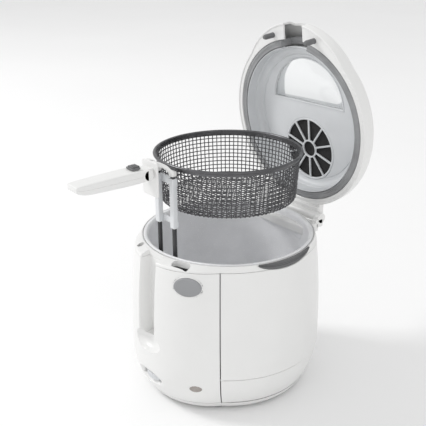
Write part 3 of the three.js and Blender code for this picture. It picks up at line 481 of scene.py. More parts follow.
def add_node(tree, kind, values=None, **settings):
    """A node with its settings and its sockets' values."""
    node = tree.nodes.new(kind)
    for key, value in settings.items():
        setattr(node, key, value)
    for key, value in (values or {}).items():
        node.inputs[key].default_value = value
    return node


def mottle_group():
    """Slow, cloudy variation between two values."""
    tree, start, end = node_group(
        "Cloudy Mottle",
        [("Vector", VECTOR, None), ("Scale", FLOAT, 20.0), ("Low", FLOAT, 0.0), ("High", FLOAT, 1.0)],
        [("Value", FLOAT)],
    )
    noise = add_node(tree, "ShaderNodeTexNoise", {"Detail": 4.0, "Roughness": 0.55})
    spread = add_node(tree, "ShaderNodeMapRange", {"From Min": 0.32, "From Max": 0.68})
    link = tree.links.new
    link(start.outputs["Vector"], noise.inputs["Vector"])
    link(start.outputs["Scale"], noise.inputs["Scale"])
    link(noise.outputs["Fac"], spread.inputs["Value"])
    link(start.outputs["Low"], spread.inputs["To Min"])
    link(start.outputs["High"], spread.inputs["To Max"])
    link(spread.outputs["Result"], end.inputs["Value"])
    return tree


def grain_group():
    """Fine spark-eroded texture of a mould, as a height."""
    tree, start, end = node_group(
        "Moulded Grain",
        [("Vector", VECTOR, None), ("Scale", FLOAT, 900.0), ("Depth", FLOAT, 1.0)],
        [("Height", FLOAT)],
    )
    noise = add_node(tree, "ShaderNodeTexNoise", {"Detail": 2.0, "Roughness": 0.6})
    cells = add_node(tree, "ShaderNodeTexVoronoi", feature="SMOOTH_F1")
    both = add_node(tree, "ShaderNodeMath", operation="MULTIPLY")
    deep = add_node(tree, "ShaderNodeMath", operation="MULTIPLY")
    link = tree.links.new
    for texture in (noise, cells):
        link(start.outputs["Vector"], texture.inputs["Vector"])
        link(start.outputs["Scale"], texture.inputs["Scale"])
    link(noise.outputs["Fac"], both.inputs[0])
    link(cells.outputs["Distance"], both.inputs[1])
    link(both.outputs[0], deep.inputs[0])
    link(start.outputs["Depth"], deep.inputs[1])
    link(deep.outputs[0], end.inputs["Height"])
    return tree


def scuff_group():
    """Sparse fine rubbing marks, as a mask."""
    tree, start, end = node_group(
        "Rubbing Marks",
        [("Vector", VECTOR, None), ("Scale", FLOAT, 60.0), ("Amount", FLOAT, 0.2)],
        [("Mask", FLOAT)],
    )
    squeeze = add_node(tree, "ShaderNodeMapping", {"Rotation": (0.5, 0.9, 0.3), "Scale": (1.0, 1.0, 14.0)})
    lines = add_node(tree, "ShaderNodeTexNoise", {"Detail": 5.0, "Roughness": 0.7, "Distortion": 0.6})
    patches = add_node(tree, "ShaderNodeTexNoise", {"Scale": 9.0, "Detail": 2.0})
    thin = add_node(tree, "ShaderNodeMapRange", {"From Min": 0.6, "From Max": 0.72})
    where = add_node(tree, "ShaderNodeMapRange", {"From Min": 0.45, "From Max": 0.65})
    both = add_node(tree, "ShaderNodeMath", operation="MULTIPLY")
    amount = add_node(tree, "ShaderNodeMath", operation="MULTIPLY")
    link = tree.links.new
    link(start.outputs["Vector"], squeeze.inputs["Vector"])
    link(squeeze.outputs["Vector"], lines.inputs["Vector"])
    link(start.outputs["Scale"], lines.inputs["Scale"])
    link(start.outputs["Vector"], patches.inputs["Vector"])
    link(lines.outputs["Fac"], thin.inputs["Value"])
    link(patches.outputs["Fac"], where.inputs["Value"])
    link(thin.outputs["Result"], both.inputs[0])
    link(where.outputs["Result"], both.inputs[1])
    link(both.outputs[0], amount.inputs[0])
    link(start.outputs["Amount"], amount.inputs[1])
    link(amount.outputs[0], end.inputs["Mask"])
    return tree


def speckle_group():
    """Small flecks scattered through a coating, as a mask."""
    tree, start, end = node_group(
        "Coating Flecks",
        [("Vector", VECTOR, None), ("Scale", FLOAT, 500.0), ("Cover", FLOAT, 0.2)],
        [("Mask", FLOAT)],
    )
    cells = add_node(tree, "ShaderNodeTexVoronoi", {"Randomness": 1.0})
    size = add_node(tree, "ShaderNodeMath", operation="LESS_THAN")
    link = tree.links.new
    link(start.outputs["Vector"], cells.inputs["Vector"])
    link(start.outputs["Scale"], cells.inputs["Scale"])
    link(cells.outputs["Distance"], size.inputs[0])
    link(start.outputs["Cover"], size.inputs[1])
    link(size.outputs[0], end.inputs["Mask"])
    return tree


def drawn_group():
    """Lines left by rolling or drawing metal, running round or along a piece."""
    tree, start, end = node_group(
        "Drawn Lines",
        [("Vector", VECTOR, None), ("Scale", FLOAT, 120.0), ("Stretch", VECTOR, (1.0, 1.0, 30.0))],
        [("Value", FLOAT)],
    )
    stretch = add_node(tree, "ShaderNodeVectorMath", operation="MULTIPLY")
    noise = add_node(tree, "ShaderNodeTexNoise", {"Detail": 4.0, "Roughness": 0.7})
    link = tree.links.new
    link(start.outputs["Vector"], stretch.inputs[0])
    link(start.outputs["Stretch"], stretch.inputs[1])
    link(stretch.outputs["Vector"], noise.inputs["Vector"])
    link(start.outputs["Scale"], noise.inputs["Scale"])
    link(noise.outputs["Fac"], end.inputs["Value"])
    return tree


GROUPS = {}


def make_groups():
    builders = {
        "mottle": mottle_group,
        "grain": grain_group,
        "scuff": scuff_group,
        "fleck": speckle_group,
        "drawn": drawn_group,
    }
    for key, build in builders.items():
        GROUPS[key] = build()


# ------------------------------------------------------------------ materials
def place(tree, key, coords, **values):
    """Puts a node group in a material with its own values."""
    node = add_node(tree, "ShaderNodeGroup", node_tree=GROUPS[key])
    for label, value in values.items():
        node.inputs[label.replace("_", " ").title()].default_value = value
    tree.links.new(coords, node.inputs["Vector"])
    return node.outputs[0]


def shade(colour, factor):
    return tuple(min(c * factor, 1.0) for c in colour[:3]) + (1.0,)


def start_material(name, roughness, metallic=0.0, **sockets):
    material = bpy.data.materials.new(name)
    material.use_nodes = True
    tree = material.node_tree
    shader = tree.nodes["Principled BSDF"]
    shader.inputs["Roughness"].default_value = roughness
    shader.inputs["Metallic"].default_value = metallic
    for label, value in sockets.items():
        shader.inputs[label.replace("_", " ").title().replace("Ior", "IOR")].default_value = value
    coords = tree.nodes.new("ShaderNodeTexCoord").outputs["Object"]
    return material, tree, shader, coords


def blend_colours(tree, factor, low, high):
    mix = add_node(tree, "ShaderNodeMix", data_type="RGBA")
    tree.links.new(factor, mix.inputs["Factor"])
    for label, value in (("A", low), ("B", high)):
        next(s for s in mix.inputs if s.name == label and s.type == "RGBA").default_value = value
    return next(s for s in mix.outputs if s.type == "RGBA")


def bump(tree, shader, height, strength, distance):
    node = add_node(tree, "ShaderNodeBump", {"Strength": strength, "Distance": distance})
    tree.links.new(height, node.inputs["Height"])
    tree.links.new(node.outputs["Normal"], shader.inputs["Normal"])


def cloudy_colour(tree, shader, coords, scale, dark, light):
    """Base colour that drifts slowly between two values."""
    cloud = place(tree, "mottle", coords, scale=scale)
    tree.links.new(blend_colours(tree, cloud, dark, light), shader.inputs["Base Color"])


def cloudy_gloss(tree, coords, scale, low, high):
    """Roughness that drifts slowly between two values."""
    return place(tree, "mottle", coords, scale=scale, low=low, high=high)


def plus(tree, a, b):
    node = add_node(tree, "ShaderNodeMath", operation="ADD", use_clamp=True)
    tree.links.new(a, node.inputs[0])
    tree.links.new(b, node.inputs[1])
    return node.outputs[0]


def plastic(name, colour, roughness, grain=700.0, depth=0.25, scuff=0.25, coat=0.0, wander=0.03):
    """Injection-moulded plastic with a faint grain, cloudy gloss and light rubbing."""
    material, tree, shader, coords = start_material(name, roughness, coat_weight=coat, coat_roughness=0.12)
    cloudy_colour(tree, shader, coords, 22.0, shade(colour, 1 - wander), shade(colour, 1 + wander))
    gloss = cloudy_gloss(tree, coords, 55.0, roughness - 0.05, roughness + 0.06)
    rub = place(tree, "scuff", coords, scale=70.0, amount=scuff)
    tree.links.new(plus(tree, gloss, rub), shader.inputs["Roughness"])
    bump(tree, shader, place(tree, "grain", coords, scale=grain, depth=1.0), depth, 0.00008)
    return material


def rubber(name, colour, roughness=0.62):
    """Silicone rubber: soft sheen, fine orange-peel skin, a little dust."""
    material, tree, shader, coords = start_material(name, roughness, sheen_weight=0.15, sheen_roughness=0.4)
    cloudy_colour(tree, shader, coords, 38.0, shade(colour, 0.86), shade(colour, 1.16))
    gloss = cloudy_gloss(tree, coords, 160.0, roughness - 0.08, roughness + 0.1)
    tree.links.new(gloss, shader.inputs["Roughness"])
    bump(tree, shader, place(tree, "grain", coords, scale=380.0, depth=1.0), 0.4, 0.0001)
    return material


def coating(name, colour, roughness=0.42):
    """Non-stick coating: speckled, slightly pebbled, with turning lines below it."""
    material, tree, shader, coords = start_material(name, roughness, specular_ior_level=0.45)
    cloud = place(tree, "mottle", coords, scale=14.0)
    ground = blend_colours(tree, cloud, shade(colour, 0.92), shade(colour, 1.06))
    flecks = place(tree, "fleck", coords, scale=420.0, cover=0.16)
    mix = add_node(tree, "ShaderNodeMix", data_type="RGBA")
    tree.links.new(flecks, mix.inputs["Factor"])
    sockets = [s for s in mix.inputs if s.type == "RGBA"]
    tree.links.new(ground, sockets[0])
    sockets[1].default_value = shade(colour, 1.4)
    tree.links.new(next(s for s in mix.outputs if s.type == "RGBA"), shader.inputs["Base Color"])
    lines = place(tree, "drawn", coords, scale=60.0, stretch=(0.4, 0.4, 24.0))
    gloss = cloudy_gloss(tree, coords, 30.0, roughness - 0.08, roughness + 0.05)
    tree.links.new(gloss, shader.inputs["Roughness"])
    height = plus(tree, lines, place(tree, "grain", coords, scale=260.0, depth=0.8))
    bump(tree, shader, height, 0.25, 0.00012)
    return material


def steel(name, colour, roughness, stretch=(1.0, 1.0, 30.0), tarnish=0.12, metallic=1.0):
    """Bare or plated steel with drawing lines and uneven tarnish."""
    material, tree, shader, coords = start_material(name, roughness, metallic)
    cloudy_colour(tree, shader, coords, 45.0, shade(colour, 1 - tarnish), shade(colour, 1 + tarnish * 0.6))
    lines = place(tree, "drawn", coords, scale=90.0, stretch=stretch)
    gloss = cloudy_gloss(tree, coords, 120.0, roughness - 0.07, roughness + 0.1)
    tree.links.new(gloss, shader.inputs["Roughness"])
    bump(tree, shader, lines, 0.15, 0.00005)
    return material


def felt(name, colour):
    """Matted filter fibre, open and dusty."""
    material, tree, shader, coords = start_material(name, 0.95, sheen_weight=0.04, sheen_roughness=0.6)
    fibres = place(tree, "drawn", coords, scale=700.0, stretch=(3.0, 1.0, 0.5))
    mixed = blend_colours(tree, fibres, shade(colour, 0.4), shade(colour, 1.9))
    tree.links.new(mixed, shader.inputs["Base Color"])
    tree.links.new(cloudy_gloss(tree, coords, 90.0, 0.85, 1.0), shader.inputs["Roughness"])
    grain = place(tree, "grain", coords, scale=500.0, depth=1.0)
    bump(tree, shader, plus(tree, fibres, grain), 0.9, 0.0006)
    return material


def clear(name, colour, roughness=0.03):
    """Toughened glass with faint smears."""
    material, tree, shader, coords = start_material(name, roughness, ior=1.48, transmission_weight=1.0)
    cloudy_colour(tree, shader, coords, 16.0, shade(colour, 0.97), shade(colour, 1.0))
    smears = cloudy_gloss(tree, coords, 26.0, 0.01, roughness + 0.08)
    tree.links.new(smears, shader.inputs["Roughness"])
    return material


def lens(name, colour):
    """Tinted clear plastic over the pilot lamp, prismatic behind its face."""
    material, tree, shader, coords = start_material(name, 0.12, coat_weight=0.6, coat_roughness=0.05)
    prisms = place(tree, "drawn", coords, scale=260.0, stretch=(4.0, 4.0, 0.6))
    mixed = blend_colours(tree, prisms, shade(colour, 0.55), shade(colour, 1.6))
    tree.links.new(mixed, shader.inputs["Base Color"])
    tree.links.new(cloudy_gloss(tree, coords, 80.0, 0.06, 0.2), shader.inputs["Roughness"])
    bump(tree, shader, prisms, 0.3, 0.0002)
    return material


def floor_finish(name, colour):
    """Plain pale studio floor, a shade uneven."""
    material, tree, shader, coords = start_material(name, 0.6, specular_ior_level=0.2)
    cloudy_colour(tree, shader, coords, 1.4, shade(colour, 0.985), shade(colour, 1.0))
    tree.links.new(cloudy_gloss(tree, coords, 4.0, 0.55, 0.65), shader.inputs["Roughness"])
    return material


FINISHES = {}


def make_finishes(colours):
    """One material for each finish of the object."""
    FINISHES.update(
        white=plastic("White Plastic", colours.casing, 0.34, scuff=0.03, coat=0.12, wander=0.008),
        light=plastic("Light Grey Plastic", colours.lining, 0.38, scuff=0.2),
        grey=plastic("Mid Grey Plastic", colours.button, 0.4, grain=500.0, depth=0.4),
        dark=plastic("Dark Grey Plastic", colours.grip, 0.48, grain=420.0, depth=0.6, wander=0.08),
        black=plastic("Black Plastic", (0.025, 0.025, 0.027), 0.45, grain=420.0, depth=0.5, wander=0.15),
        rubber=rubber("Silicone Rubber", colours.gasket),
        bowl=coating("Speckled Coating", colours.bowl),
        wire=steel("Basket Wire", colours.wire, 0.32, tarnish=0.2),
        steel=steel("Plated Steel", (0.62, 0.63, 0.64), 0.25),
        sheet=steel("Sheet Steel", (0.6, 0.61, 0.62), 0.36, stretch=(30.0, 1.0, 1.0)),
        rod=steel("Blackened Rod", colours.rod, 0.38, stretch=(20.0, 20.0, 0.6), metallic=0.7),
        felt=felt("Filter Felt", (0.012, 0.0115, 0.012)),
        glass=clear("Window Glass", (0.97, 0.985, 0.99)),
        lens=lens("Lamp Lens", colours.lens),
        floor=floor_finish("Studio Floor", colours.floor),
    )


# ------------------------------------------------------------------ casing pieces
def grip_floor(y):
    """Height of the side grip's cut at a place along the side."""
    inside = np.clip(1 - (np.asarray(y) / GRIP_HALF) ** 2, 0, 1)
    return np.where(inside > 0, RIM_Z + 1 - GRIP_DEPTH * np.sqrt(inside), RIM_Z + 1)


def housing_shape():
    """Round shell from seam to seam, creased near its foot and cut down for the grips."""
    theta = np.linspace(SEAM + SEAM_GAP_ANGLE, 2 * math.pi - SEAM - SEAM_GAP_ANGLE, 232)
    y = -BODY_R * LID_SCALE * np.cos(theta)
    top = np.minimum(COLLAR_LOW - SEAM_GAP, grip_floor(y))
    middle = 150.0
    low_rows = [
        np.linspace(TRAY_TOP + 2 * SEAM_GAP, CREASE_Z - 1.2, 28),
        np.linspace(CREASE_Z - 1, CREASE_Z + 1, 21),
        np.linspace(CREASE_Z + 1.2, middle, 50),
    ]
    z = np.concatenate(low_rows)[:, None] + 0 * top
    z = np.concatenate([z, middle + (top - middle) * np.linspace(0.03, 1, 34)[:, None]])
    away = np.minimum(theta - SEAM, 2 * math.pi - SEAM - theta)
    crease = CREASE * (1 - smooth(z, CREASE_Z - 0.6, CREASE_Z + 0.4)) * smooth(away, 0.0, 0.12)
    line = LINE_DEPTH * np.clip((0.85 - np.abs(z - CREASE_Z)) / 0.2, 0, 1) * smooth(away, 0.0, 0.05)
    skin = polar(BODY_R * side_scale(z) - crease - line, theta, z)
    return grid(rolled(skin, 1.0, 3.0))


def softer_max(a, b, width):
    """The larger of two values, rounded off where they meet."""
    return 0.5 * (a + b + np.sqrt((a - b) ** 2 + width**2))


def hollow(x, z, y0, z0, half_x, deep, half_z):
    """Surface of a rounded hollow in the column's face, far outside it elsewhere."""
    inside = 1 - (x / half_x) ** 2 - ((z - z0) / half_z) ** 2
    return np.where(inside > 0, y0 + deep * np.sqrt(np.maximum(inside, 0)), y0 - 25.0)


def step(x, at, width=0.16):
    """Falls from 1 to 0 as x passes a value."""
    return 1 / (1 + np.exp(np.clip((x - at) / width, -40, 40)))


def panel_shape():
    """Face of the control column with its groove, scoop, dial pocket and two oval holes."""
    core = [0, 2, 4, 6, 8, 10, 12, 13, 14, 14.8, 15.3, 15.55, 15.75, 15.9, 16.0, 16.1, 16.25, 16.5, 16.9]
    core += [17.5, 18.2, 18.45, 18.6, 18.75, 19, 19.5, 20]
    side = np.concatenate([core, np.linspace(21, PANEL_HALF, 58)])
    c = np.concatenate([-side[:0:-1], side])
    z = np.concatenate(
        [
            np.linspace(TRAY_TOP + 2 * SEAM_GAP, 34.6, 18),
            [34.9, 35.1, 35.25, 35.45, 35.8],
            np.linspace(36.6, 43.4, 7),
            [44.2, 44.55, 44.75, 44.9, 45.1],
            np.linspace(46, 94.4, 46),
            [95, 95.5, 95.8, 96.0, 96.2, 96.6, 97.2],
            np.linspace(98.5, COLLAR_LOW - SEAM_GAP, 80),
        ]
    )[:, None]
    s = side_scale(z)
    span = PANEL_HALF * s - 0.25
    even = core[-1]  # the columns keep their places up to here and fan out to the seams beyond
    fan = even + (np.abs(c) - even) * (span - even) / (PANEL_HALF - even)
    x = np.where(np.abs(c) <= even, c, np.sign(c) * fan)
    face = -(PANEL_C * s + np.sqrt(np.maximum((PANEL_R * s) ** 2 - x**2, 0)))
    w = step(np.abs(x), GROOVE_HALF) * step(-z, -GROOVE_BOTTOM)
    y = face + (-GROOVE_FLOOR - face) * w
    y = softer_max(y, hollow(x, z, -PANEL_FRONT, SCOOP_Z, SCOOP_HALF, SCOOP_DEPTH, SCOOP_DEPTH), 0.5)
    dial_face = -PANEL_FRONT * float(side_scale(DIAL_Z))
    y = softer_max(y, hollow(x, z, dial_face, DIAL_Z, POCKET_HALF, POCKET_DEPTH, POCKET_TALL), 0.4)
    slot = step(np.abs(x), 18.6) * step(np.abs(z - DIAL_Z), 4.9, 0.1)
    y = y + (np.maximum(-DIAL_Y - y, 0)) * slot
    skin = np.stack([x, y, z + 0 * x], axis=-1)
    verts, faces = grid(rolled(skin, 1.0, 3.0))
    button_hole = (BUTTON_X, BUTTON_Z, BUTTON_HALF + 0.5, BUTTON_TALL + 0.5)
    pilot_hole = (PILOT_X, PILOT_Z, PILOT_HALF + 0.3, PILOT_TALL + 0.3)
    for at_x, at_z, a, b in (button_hole, pilot_hole):
        back = np.array(on_panel(at_x, at_z).inverted())
        local = verts @ back[:3, :3].T + back[:3, 3]
        near = (local[:, 0] / a) ** 2 + (local[:, 1] / b) ** 2
        near = np.where(np.abs(local[:, 2]) < 6, near, 9.0)
        faces = [f for f in faces if min(near[i] for i in f) > 0.98 or max(near[i] for i in f) > 1.25]
    return verts, faces


def panel_ring(at_x, at_z, a, b, radius, lift=0.0, steps=96):
    """A bead that follows the column's curved face round an oval."""
    t = np.linspace(0, 2 * math.pi, steps, endpoint=False)
    u, z = a * np.cos(t), at_z + b * np.sin(t)
    angle = math.asin(at_x / PANEL_R) + u / PANEL_R
    s = side_scale(z)
    r = PANEL_R * s + lift
    path = np.stack([r * np.sin(angle), -(PANEL_C * s + r * np.cos(angle)), z], axis=-1)
    return wire(path, radius, 10, closed=True, up=(0.4, -0.9, 0.1))


def collar_shape():
    """Ring round the bowl, cut for the groove, the grips and the lid's pegs."""
    inner = FLANGE_R + 1.1
    under, over, outside = 150, 240, 150
    theta = around(90, 190)
    loops = []
    for r in outline(theta) * LID_SCALE:
        loops.append(
            rounded(
                [
                    (inner - 4, COLLAR_LOW),
                    (inner - 4, RIM_Z - 2.6),
                    (inner, RIM_Z - 2.6),
                    (inner, RIM_Z - 0.8),
                    (inner + 1.6, RIM_Z - 0.6),
                    (r - 1.0, RIM_Z - 5.2),
                    (r, RIM_Z - 7.2),
                    (r, COLLAR_LOW),
                ],
                [0.3, 0.3, 0.3, 0.7, 1.2, 1.4, 1.2, 0.4],
                closed=True,
            )
        )
    loops = np.array(loops)
    rows = np.swapaxes(polar(loops[..., 0], theta[:, None], loops[..., 1]), 0, 1)
    body = grid(rows, wrap=True, ring=True)
    y = np.linspace(-GRIP_HALF + 0.1, GRIP_HALF - 0.1, 60)
    floor = grip_floor(y)
    x = np.sqrt((FLANGE_R + 1.5) ** 2 - y**2)
    section = np.stack(
        [
            np.stack([x, y, floor], -1),
            np.stack([0 * x + outside, y, floor], -1),
            np.stack([0 * x + outside, y, 0 * y + over], -1),
            np.stack([x, y, 0 * y + over], -1),
        ],
        axis=1,
    )
    scoop = capped(section)
    reach = 42.0
    groove = slab(rounded_box(GROOVE_HALF, reach, 1.5), under, over, 0.2)
    half = SOCKET_LENGTH / 2
    slot = slab(rounded_box(half + PEG_R + 1.3, PEG_R + 1.3, PEG_R + 1.25, 8), under, over, 0.2)
    at_right_peg = Matrix.Translation((PEG_X, -PEG_Y, 0)) @ Matrix.Rotation(math.radians(21), 4, "Z")
    return cut(
        body,
        moved(groove, 0, -GROOVE_FLOOR - reach, 0),
        moved(slab(circle(PEG_R + 1, 40), under, over, 0.2), -PEG_X, -PEG_Y),
        turned_by(moved(slot, half), at_right_peg),
        scoop,
        mirrored(scoop),
    )


def grip_shape():
    """Dark insert of a hand cut-out: a low foot and a wall with three ribs that die out at its ends."""
    top, foot = RIM_Z - 1.5, 1.7
    loops = []
    for y in np.linspace(-42, 42, 70):
        low = float(grip_floor(y)) + 0.3
        radii = (FLANGE_R + 1.8, FLANGE_R + 3.5, BODY_R * LID_SCALE - 0.6)
        back, wall, edge = [math.sqrt(r * r - y * y) for r in radii]
        tall = top - low - foot
        ribs = []
        for share in (0.22, 0.46, 0.70):
            at, half = low + foot + share * tall, 0.075 * tall
            ribs += [(wall, at - half), (wall + 0.8, at - 0.5 * half)]
            ribs += [(wall + 0.8, at + 0.5 * half), (wall, at + half)]
        profile = [(back, low), (edge, low), (edge, low + foot), (wall, low + foot)]
        profile += [*ribs, (wall, top), (back, top)]
        corners = [0.1, 0.4, 0.6, 0.4] + [0] * len(ribs) + [0.5, 0.4]
        loops.append([(x, y, z) for x, z in rounded(profile, corners, closed=True)])
    return capped(np.array(loops))


def tray_shape():
    """Bottom of the casing with recesses for the feet and the screws and a row of slots."""
    theta = around(72, 150)
    stations = [(TRAY_TOP, 2.4), (TRAY_TOP, 0.6), (TRAY_TOP - 0.5, 0.1), (TRAY_TOP - 1.4, 0.0), (9, 0.0)]
    stations += [(6.4, 0.1), (5.1, 0.7), (4.3, 1.7), (4.02, 3.0), (4.0, 5.0)]
    rows = [polar(outline(theta) * side_scale(z) - d, theta, z) for z, d in stations]
    base = outline(theta) * side_scale(4.0) - 5.0
    rows += [polar(base * k, theta, 4.0) for k in (0.9, 0.6, 0.3, 0.0)]
    rows += [polar(base * k, theta, 6.6) for k in (0.0, 0.5, 0.95, 1.02)]
    shape = grid(np.array(rows), wrap=True, ring=True)
    holes = []
    for x, y in FOOT_PLACES:
        holes.append(moved(slab(circle(8.6, 32), 2, 4.7, 0.1), x, y))
    for x, y in SCREW_PLACES:
        holes.append(moved(slab(circle(4.4, 24), 2, 6.0, 0.1), x, y))
    for i in range(-3, 4):
        holes.append(moved(slab(rounded_box(22, 2.2, 2.1), 2, 8.0, 0.1), 0, i * 9.0 - 2))
    return cut(shape, merged(*holes))


def foot_shape(x, y):
    profile = [(0, 0.2), (2.6, 0.2), (3.4, 0), (7.0, 0), (7.7, 0.5), (8.0, 1.3), (8.0, 4.4), (0, 4.4)]
    return moved(turned(rounded(profile, 0.5), 40, closed=False), x, y)


def screw_shape(x, y):
    head = turned(rounded([(0, 4.6), (3.2, 4.6), (4.0, 5.6), (4.0, 6.6), (0, 6.6)], 0.4), 32, closed=False)
    cross = merged(
        slab(rounded_box(2.4, 0.45, 0.3), 4.0, 5.7, 0.05),
        slab(rounded_box(0.45, 2.4, 0.3), 4.0, 5.72, 0.05),
    )
    return moved(cut(head, cross), x, y)


def bowl_shape():
    """Drawn bowl with a rolled flange, its floor a little higher in the middle."""
    wall = 1.5
    floor = BOWL_LOW[2] + wall
    profile = [(0, floor + 0.6), (52, floor), (BOWL_R, floor), (BOWL_R, RIM_Z - 3.2)]
    radii = [0, 6, 8, 3]
    profile += [(BOWL_R + 2.6, RIM_Z - 0.2), (FLANGE_R - 0.6, RIM_Z), (FLANGE_R, RIM_Z - 1.4)]
    radii += [1.8, 0.5, 0.5]
    profile += [(FLANGE_R - 0.6, RIM_Z - 2), (BOWL_R + 3, RIM_Z - 2), (BOWL_R + wall, RIM_Z - 5)]
    radii += [0.3, 0.8, 1.0]
    profile += [(BOWL_R + wall, floor - wall), (0, floor - wall)]
    radii += [8, 0]
    return turned(rounded(profile, radii, steps=7), 200, closed=False)


def wall_mark(theta0, theta1, z, thick):
    """A raised line round part of the bowl's inner wall."""
    a = np.linspace(theta0, theta1, 40)
    return wire(polar(BOWL_R - 0.1, a, z), thick, 8)


def wall_boss(theta, z, half_w, half_h):
    """A rounded pad pressed into the bowl's inner wall."""
    shape_line = rounded_box(half_w, half_h, min(half_w, half_h) * 0.9, 6)
    rows = []
    for shrink, lift in ((0, -0.4), (0, 0.2), (0.5, 0.75), (1.4, 1.0), (3.0, 1.0)):
        ring = inset(shape_line, shrink)
        a = theta + ring[:, 0] / BOWL_R
        rows.append(polar(BOWL_R - lift, a, z + ring[:, 1]))
    return capped(np.array(rows))


def hinge_bracket_shape():
    shapes = [block(-47.5, 47.5, 96, HINGE_Y - 5.2, 190, COLLAR_LOW - 1, 1.6)]
    for x0, x1 in ((-47.5, -39), (39, 47.5)):
        shapes.append(bar_x(HINGE_Y, HINGE_Z, 7.3, x0, x1, 0.8))
        shapes.append(block(x0, x1, HINGE_Y - 11, HINGE_Y + 3.5, 195, HINGE_Z, 1.2))
    return merged(*shapes)


def gland_shape():
    """Cord inlet low at the back, tilted down."""
    profile = [(0, -11), (7.7, -11), (7.7, 1.2), (10.5, 1.2), (10.5, 3.5), (9.0, 4.4), (6.2, 5.4), (5.2, 10)]
    profile += [(4.6, 10.6), (3.6, 10), (3.4, 5), (0, 5)]
    shape = turned(rounded(profile, 0.5), 48, closed=False)
    height = 34
    at_back = Matrix.Translation((0, BODY_R * float(side_scale(height)), height))
    return turned_by(shape, at_back @ Matrix.Rotation(math.radians(-108), 4, "X"))


# ------------------------------------------------------------------ controls
def button_shape():
    """Oval cap with a raised edge and a dished middle, its stem and the flag the spring pushes on."""
    steps, dish = 96, 0.72
    stations = [(1.0, -5.4), (1.0, 0.2), (0.985, 0.75), (0.95, 1.2), (0.89, 1.45), (0.83, 1.4), (dish, 1.0)]
    stations += [(k, 1.0 - 0.55 * (1 - (k / dish) ** 2)) for k in (0.6, 0.45, 0.3, 0.15, 0.0)]
    rows = []
    for k, h in stations:
        ring = oval(BUTTON_HALF * k, BUTTON_TALL * k, steps)
        rows.append(np.column_stack([ring, np.full(steps, h)]))
    stem = slab(circle(3, 24), -12.5, -5, 0.3)
    flag = moved(slab(rounded_box(3, 5.8, 0.8), -12.5, -10, 0.2), 0, 5.8)
    verts, faces = grid(np.array(rows), wrap=True)
    faces.append(list(range(steps)))
    return turned_by(merged((verts, faces), stem, flag), on_panel(BUTTON_X, BUTTON_Z))


def dial_shape():
    """Edge-turned wheel with a ribbed rim and a bore for its shaft."""
    ribs, steps, half, bore = 40, 480, DIAL_T / 2, 3.2
    a = np.linspace(0, 2 * math.pi, steps, endpoint=False)
    wave = 0.5 * (1 + np.cos(ribs * a))
    upper = [(half - 1.6, DIAL_R, 1), (half - 0.7, DIAL_R - 0.4, 0.5), (half, DIAL_R - 1.6, 0)]
    upper += [(half, DIAL_R - 5, 0), (half - 0.6, bore, 0)]
    lower = [(-h, r, deep) for h, r, deep in upper]
    rows = []
    for h, r, deep in lower[::-1] + upper:
        radius = r - 0.9 * deep * (1 - wave) ** 0.7
        rows.append(moved((polar(radius, a, DIAL_Z + h), []), 0, -DIAL_Y)[0])
    return grid(np.array(rows), wrap=True, ring=True)


def lens_shape():
    """Softly domed oval window of the pilot lamp."""
    steps = 48
    rows = []
    for k, h in ((1.0, -3.6), (1.0, 0.1), (0.97, 0.45), (0.9, 0.7), (0.7, 0.8), (0.4, 0.84), (0.0, 0.85)):
        ring = oval(PILOT_HALF * k, PILOT_TALL * k, steps)
        rows.append(np.column_stack([ring, np.full(steps, h)]))
    verts, faces = grid(np.array(rows), wrap=True)
    faces.append(list(range(steps)))
    return turned_by((verts, faces), on_panel(PILOT_X, PILOT_Z))


# ------------------------------------------------------------------ lid pieces, drawn closed
def crown(theta):
    """The plain circle that the lid's outline runs into as it rises."""
    side = CROWN_FORWARD * np.sin(theta)
    return CROWN_FORWARD * np.cos(theta) + np.sqrt(CROWN_R**2 - side**2)


def lid_edge(theta):
    """Radius of the lid's edge, a little outside the collar."""
    return outline(theta) * LID_SCALE + LID_OVERHANG


def dome_ring(theta, u, inset_by):
    """One ring of the dome, u running from 0 at the edge to a right angle at the top."""
    rise = math.sin(u) ** 2
    r = lid_edge(theta) * (1 - rise) + crown(theta) * rise - inset_by
    return polar(r * max(math.cos(u), 0) ** 0.8, theta, LID_SPRING + (LID_DOME - inset_by) * math.sin(u))


def dome_height(x, y, inset_by=0.0):
    """Height of the dome above a place in the lid's plan."""
    theta = math.atan2(x, -y)
    us = np.radians(np.linspace(90, 0, 60))
    radii = [float(np.hypot(*dome_ring(np.array([theta]), u, inset_by)[0, :2])) for u in us]
    u = np.interp(math.hypot(x, y), radii, us)
    return LID_SPRING + (LID_DOME - inset_by) * math.sin(u)


def window_outline(grow, steps=64):
    """Half-round outline of the window, straight towards the hinge."""
    a, b, y0 = WINDOW_HALF + grow, WINDOW_ARC + 2 * grow, WINDOW_Y + grow
    t = np.linspace(0, math.pi, steps)
    arc = [(-a * math.cos(k), y0 - b * math.sin(k)) for k in t]
    line = [(a - 2 * a * k, y0) for k in np.linspace(0, 1, 30)[1:-1]]
    return np.array(arc + line)


def plug(shape_line, low, high):
    """A sharp-edged plate that cuts a hole."""
    return slab(shape_line, low, high, 0.02, 1)


def tail_web(half, low, high):
    """Web between the lid's rear wall and its hinge tail, following the wall's curve."""
    x = np.linspace(-half, half, 40)
    near = np.sqrt((BODY_R * LID_SCALE + LID_OVERHANG - 1.2) ** 2 - x**2)
    far = 0 * x + BODY_R * LID_SCALE + 3
    corners = [(near, low), (far, low), (far, high), (near, high)]
    return capped(np.stack([np.stack([x, y, 0 * x + z], -1) for y, z in corners], axis=1))


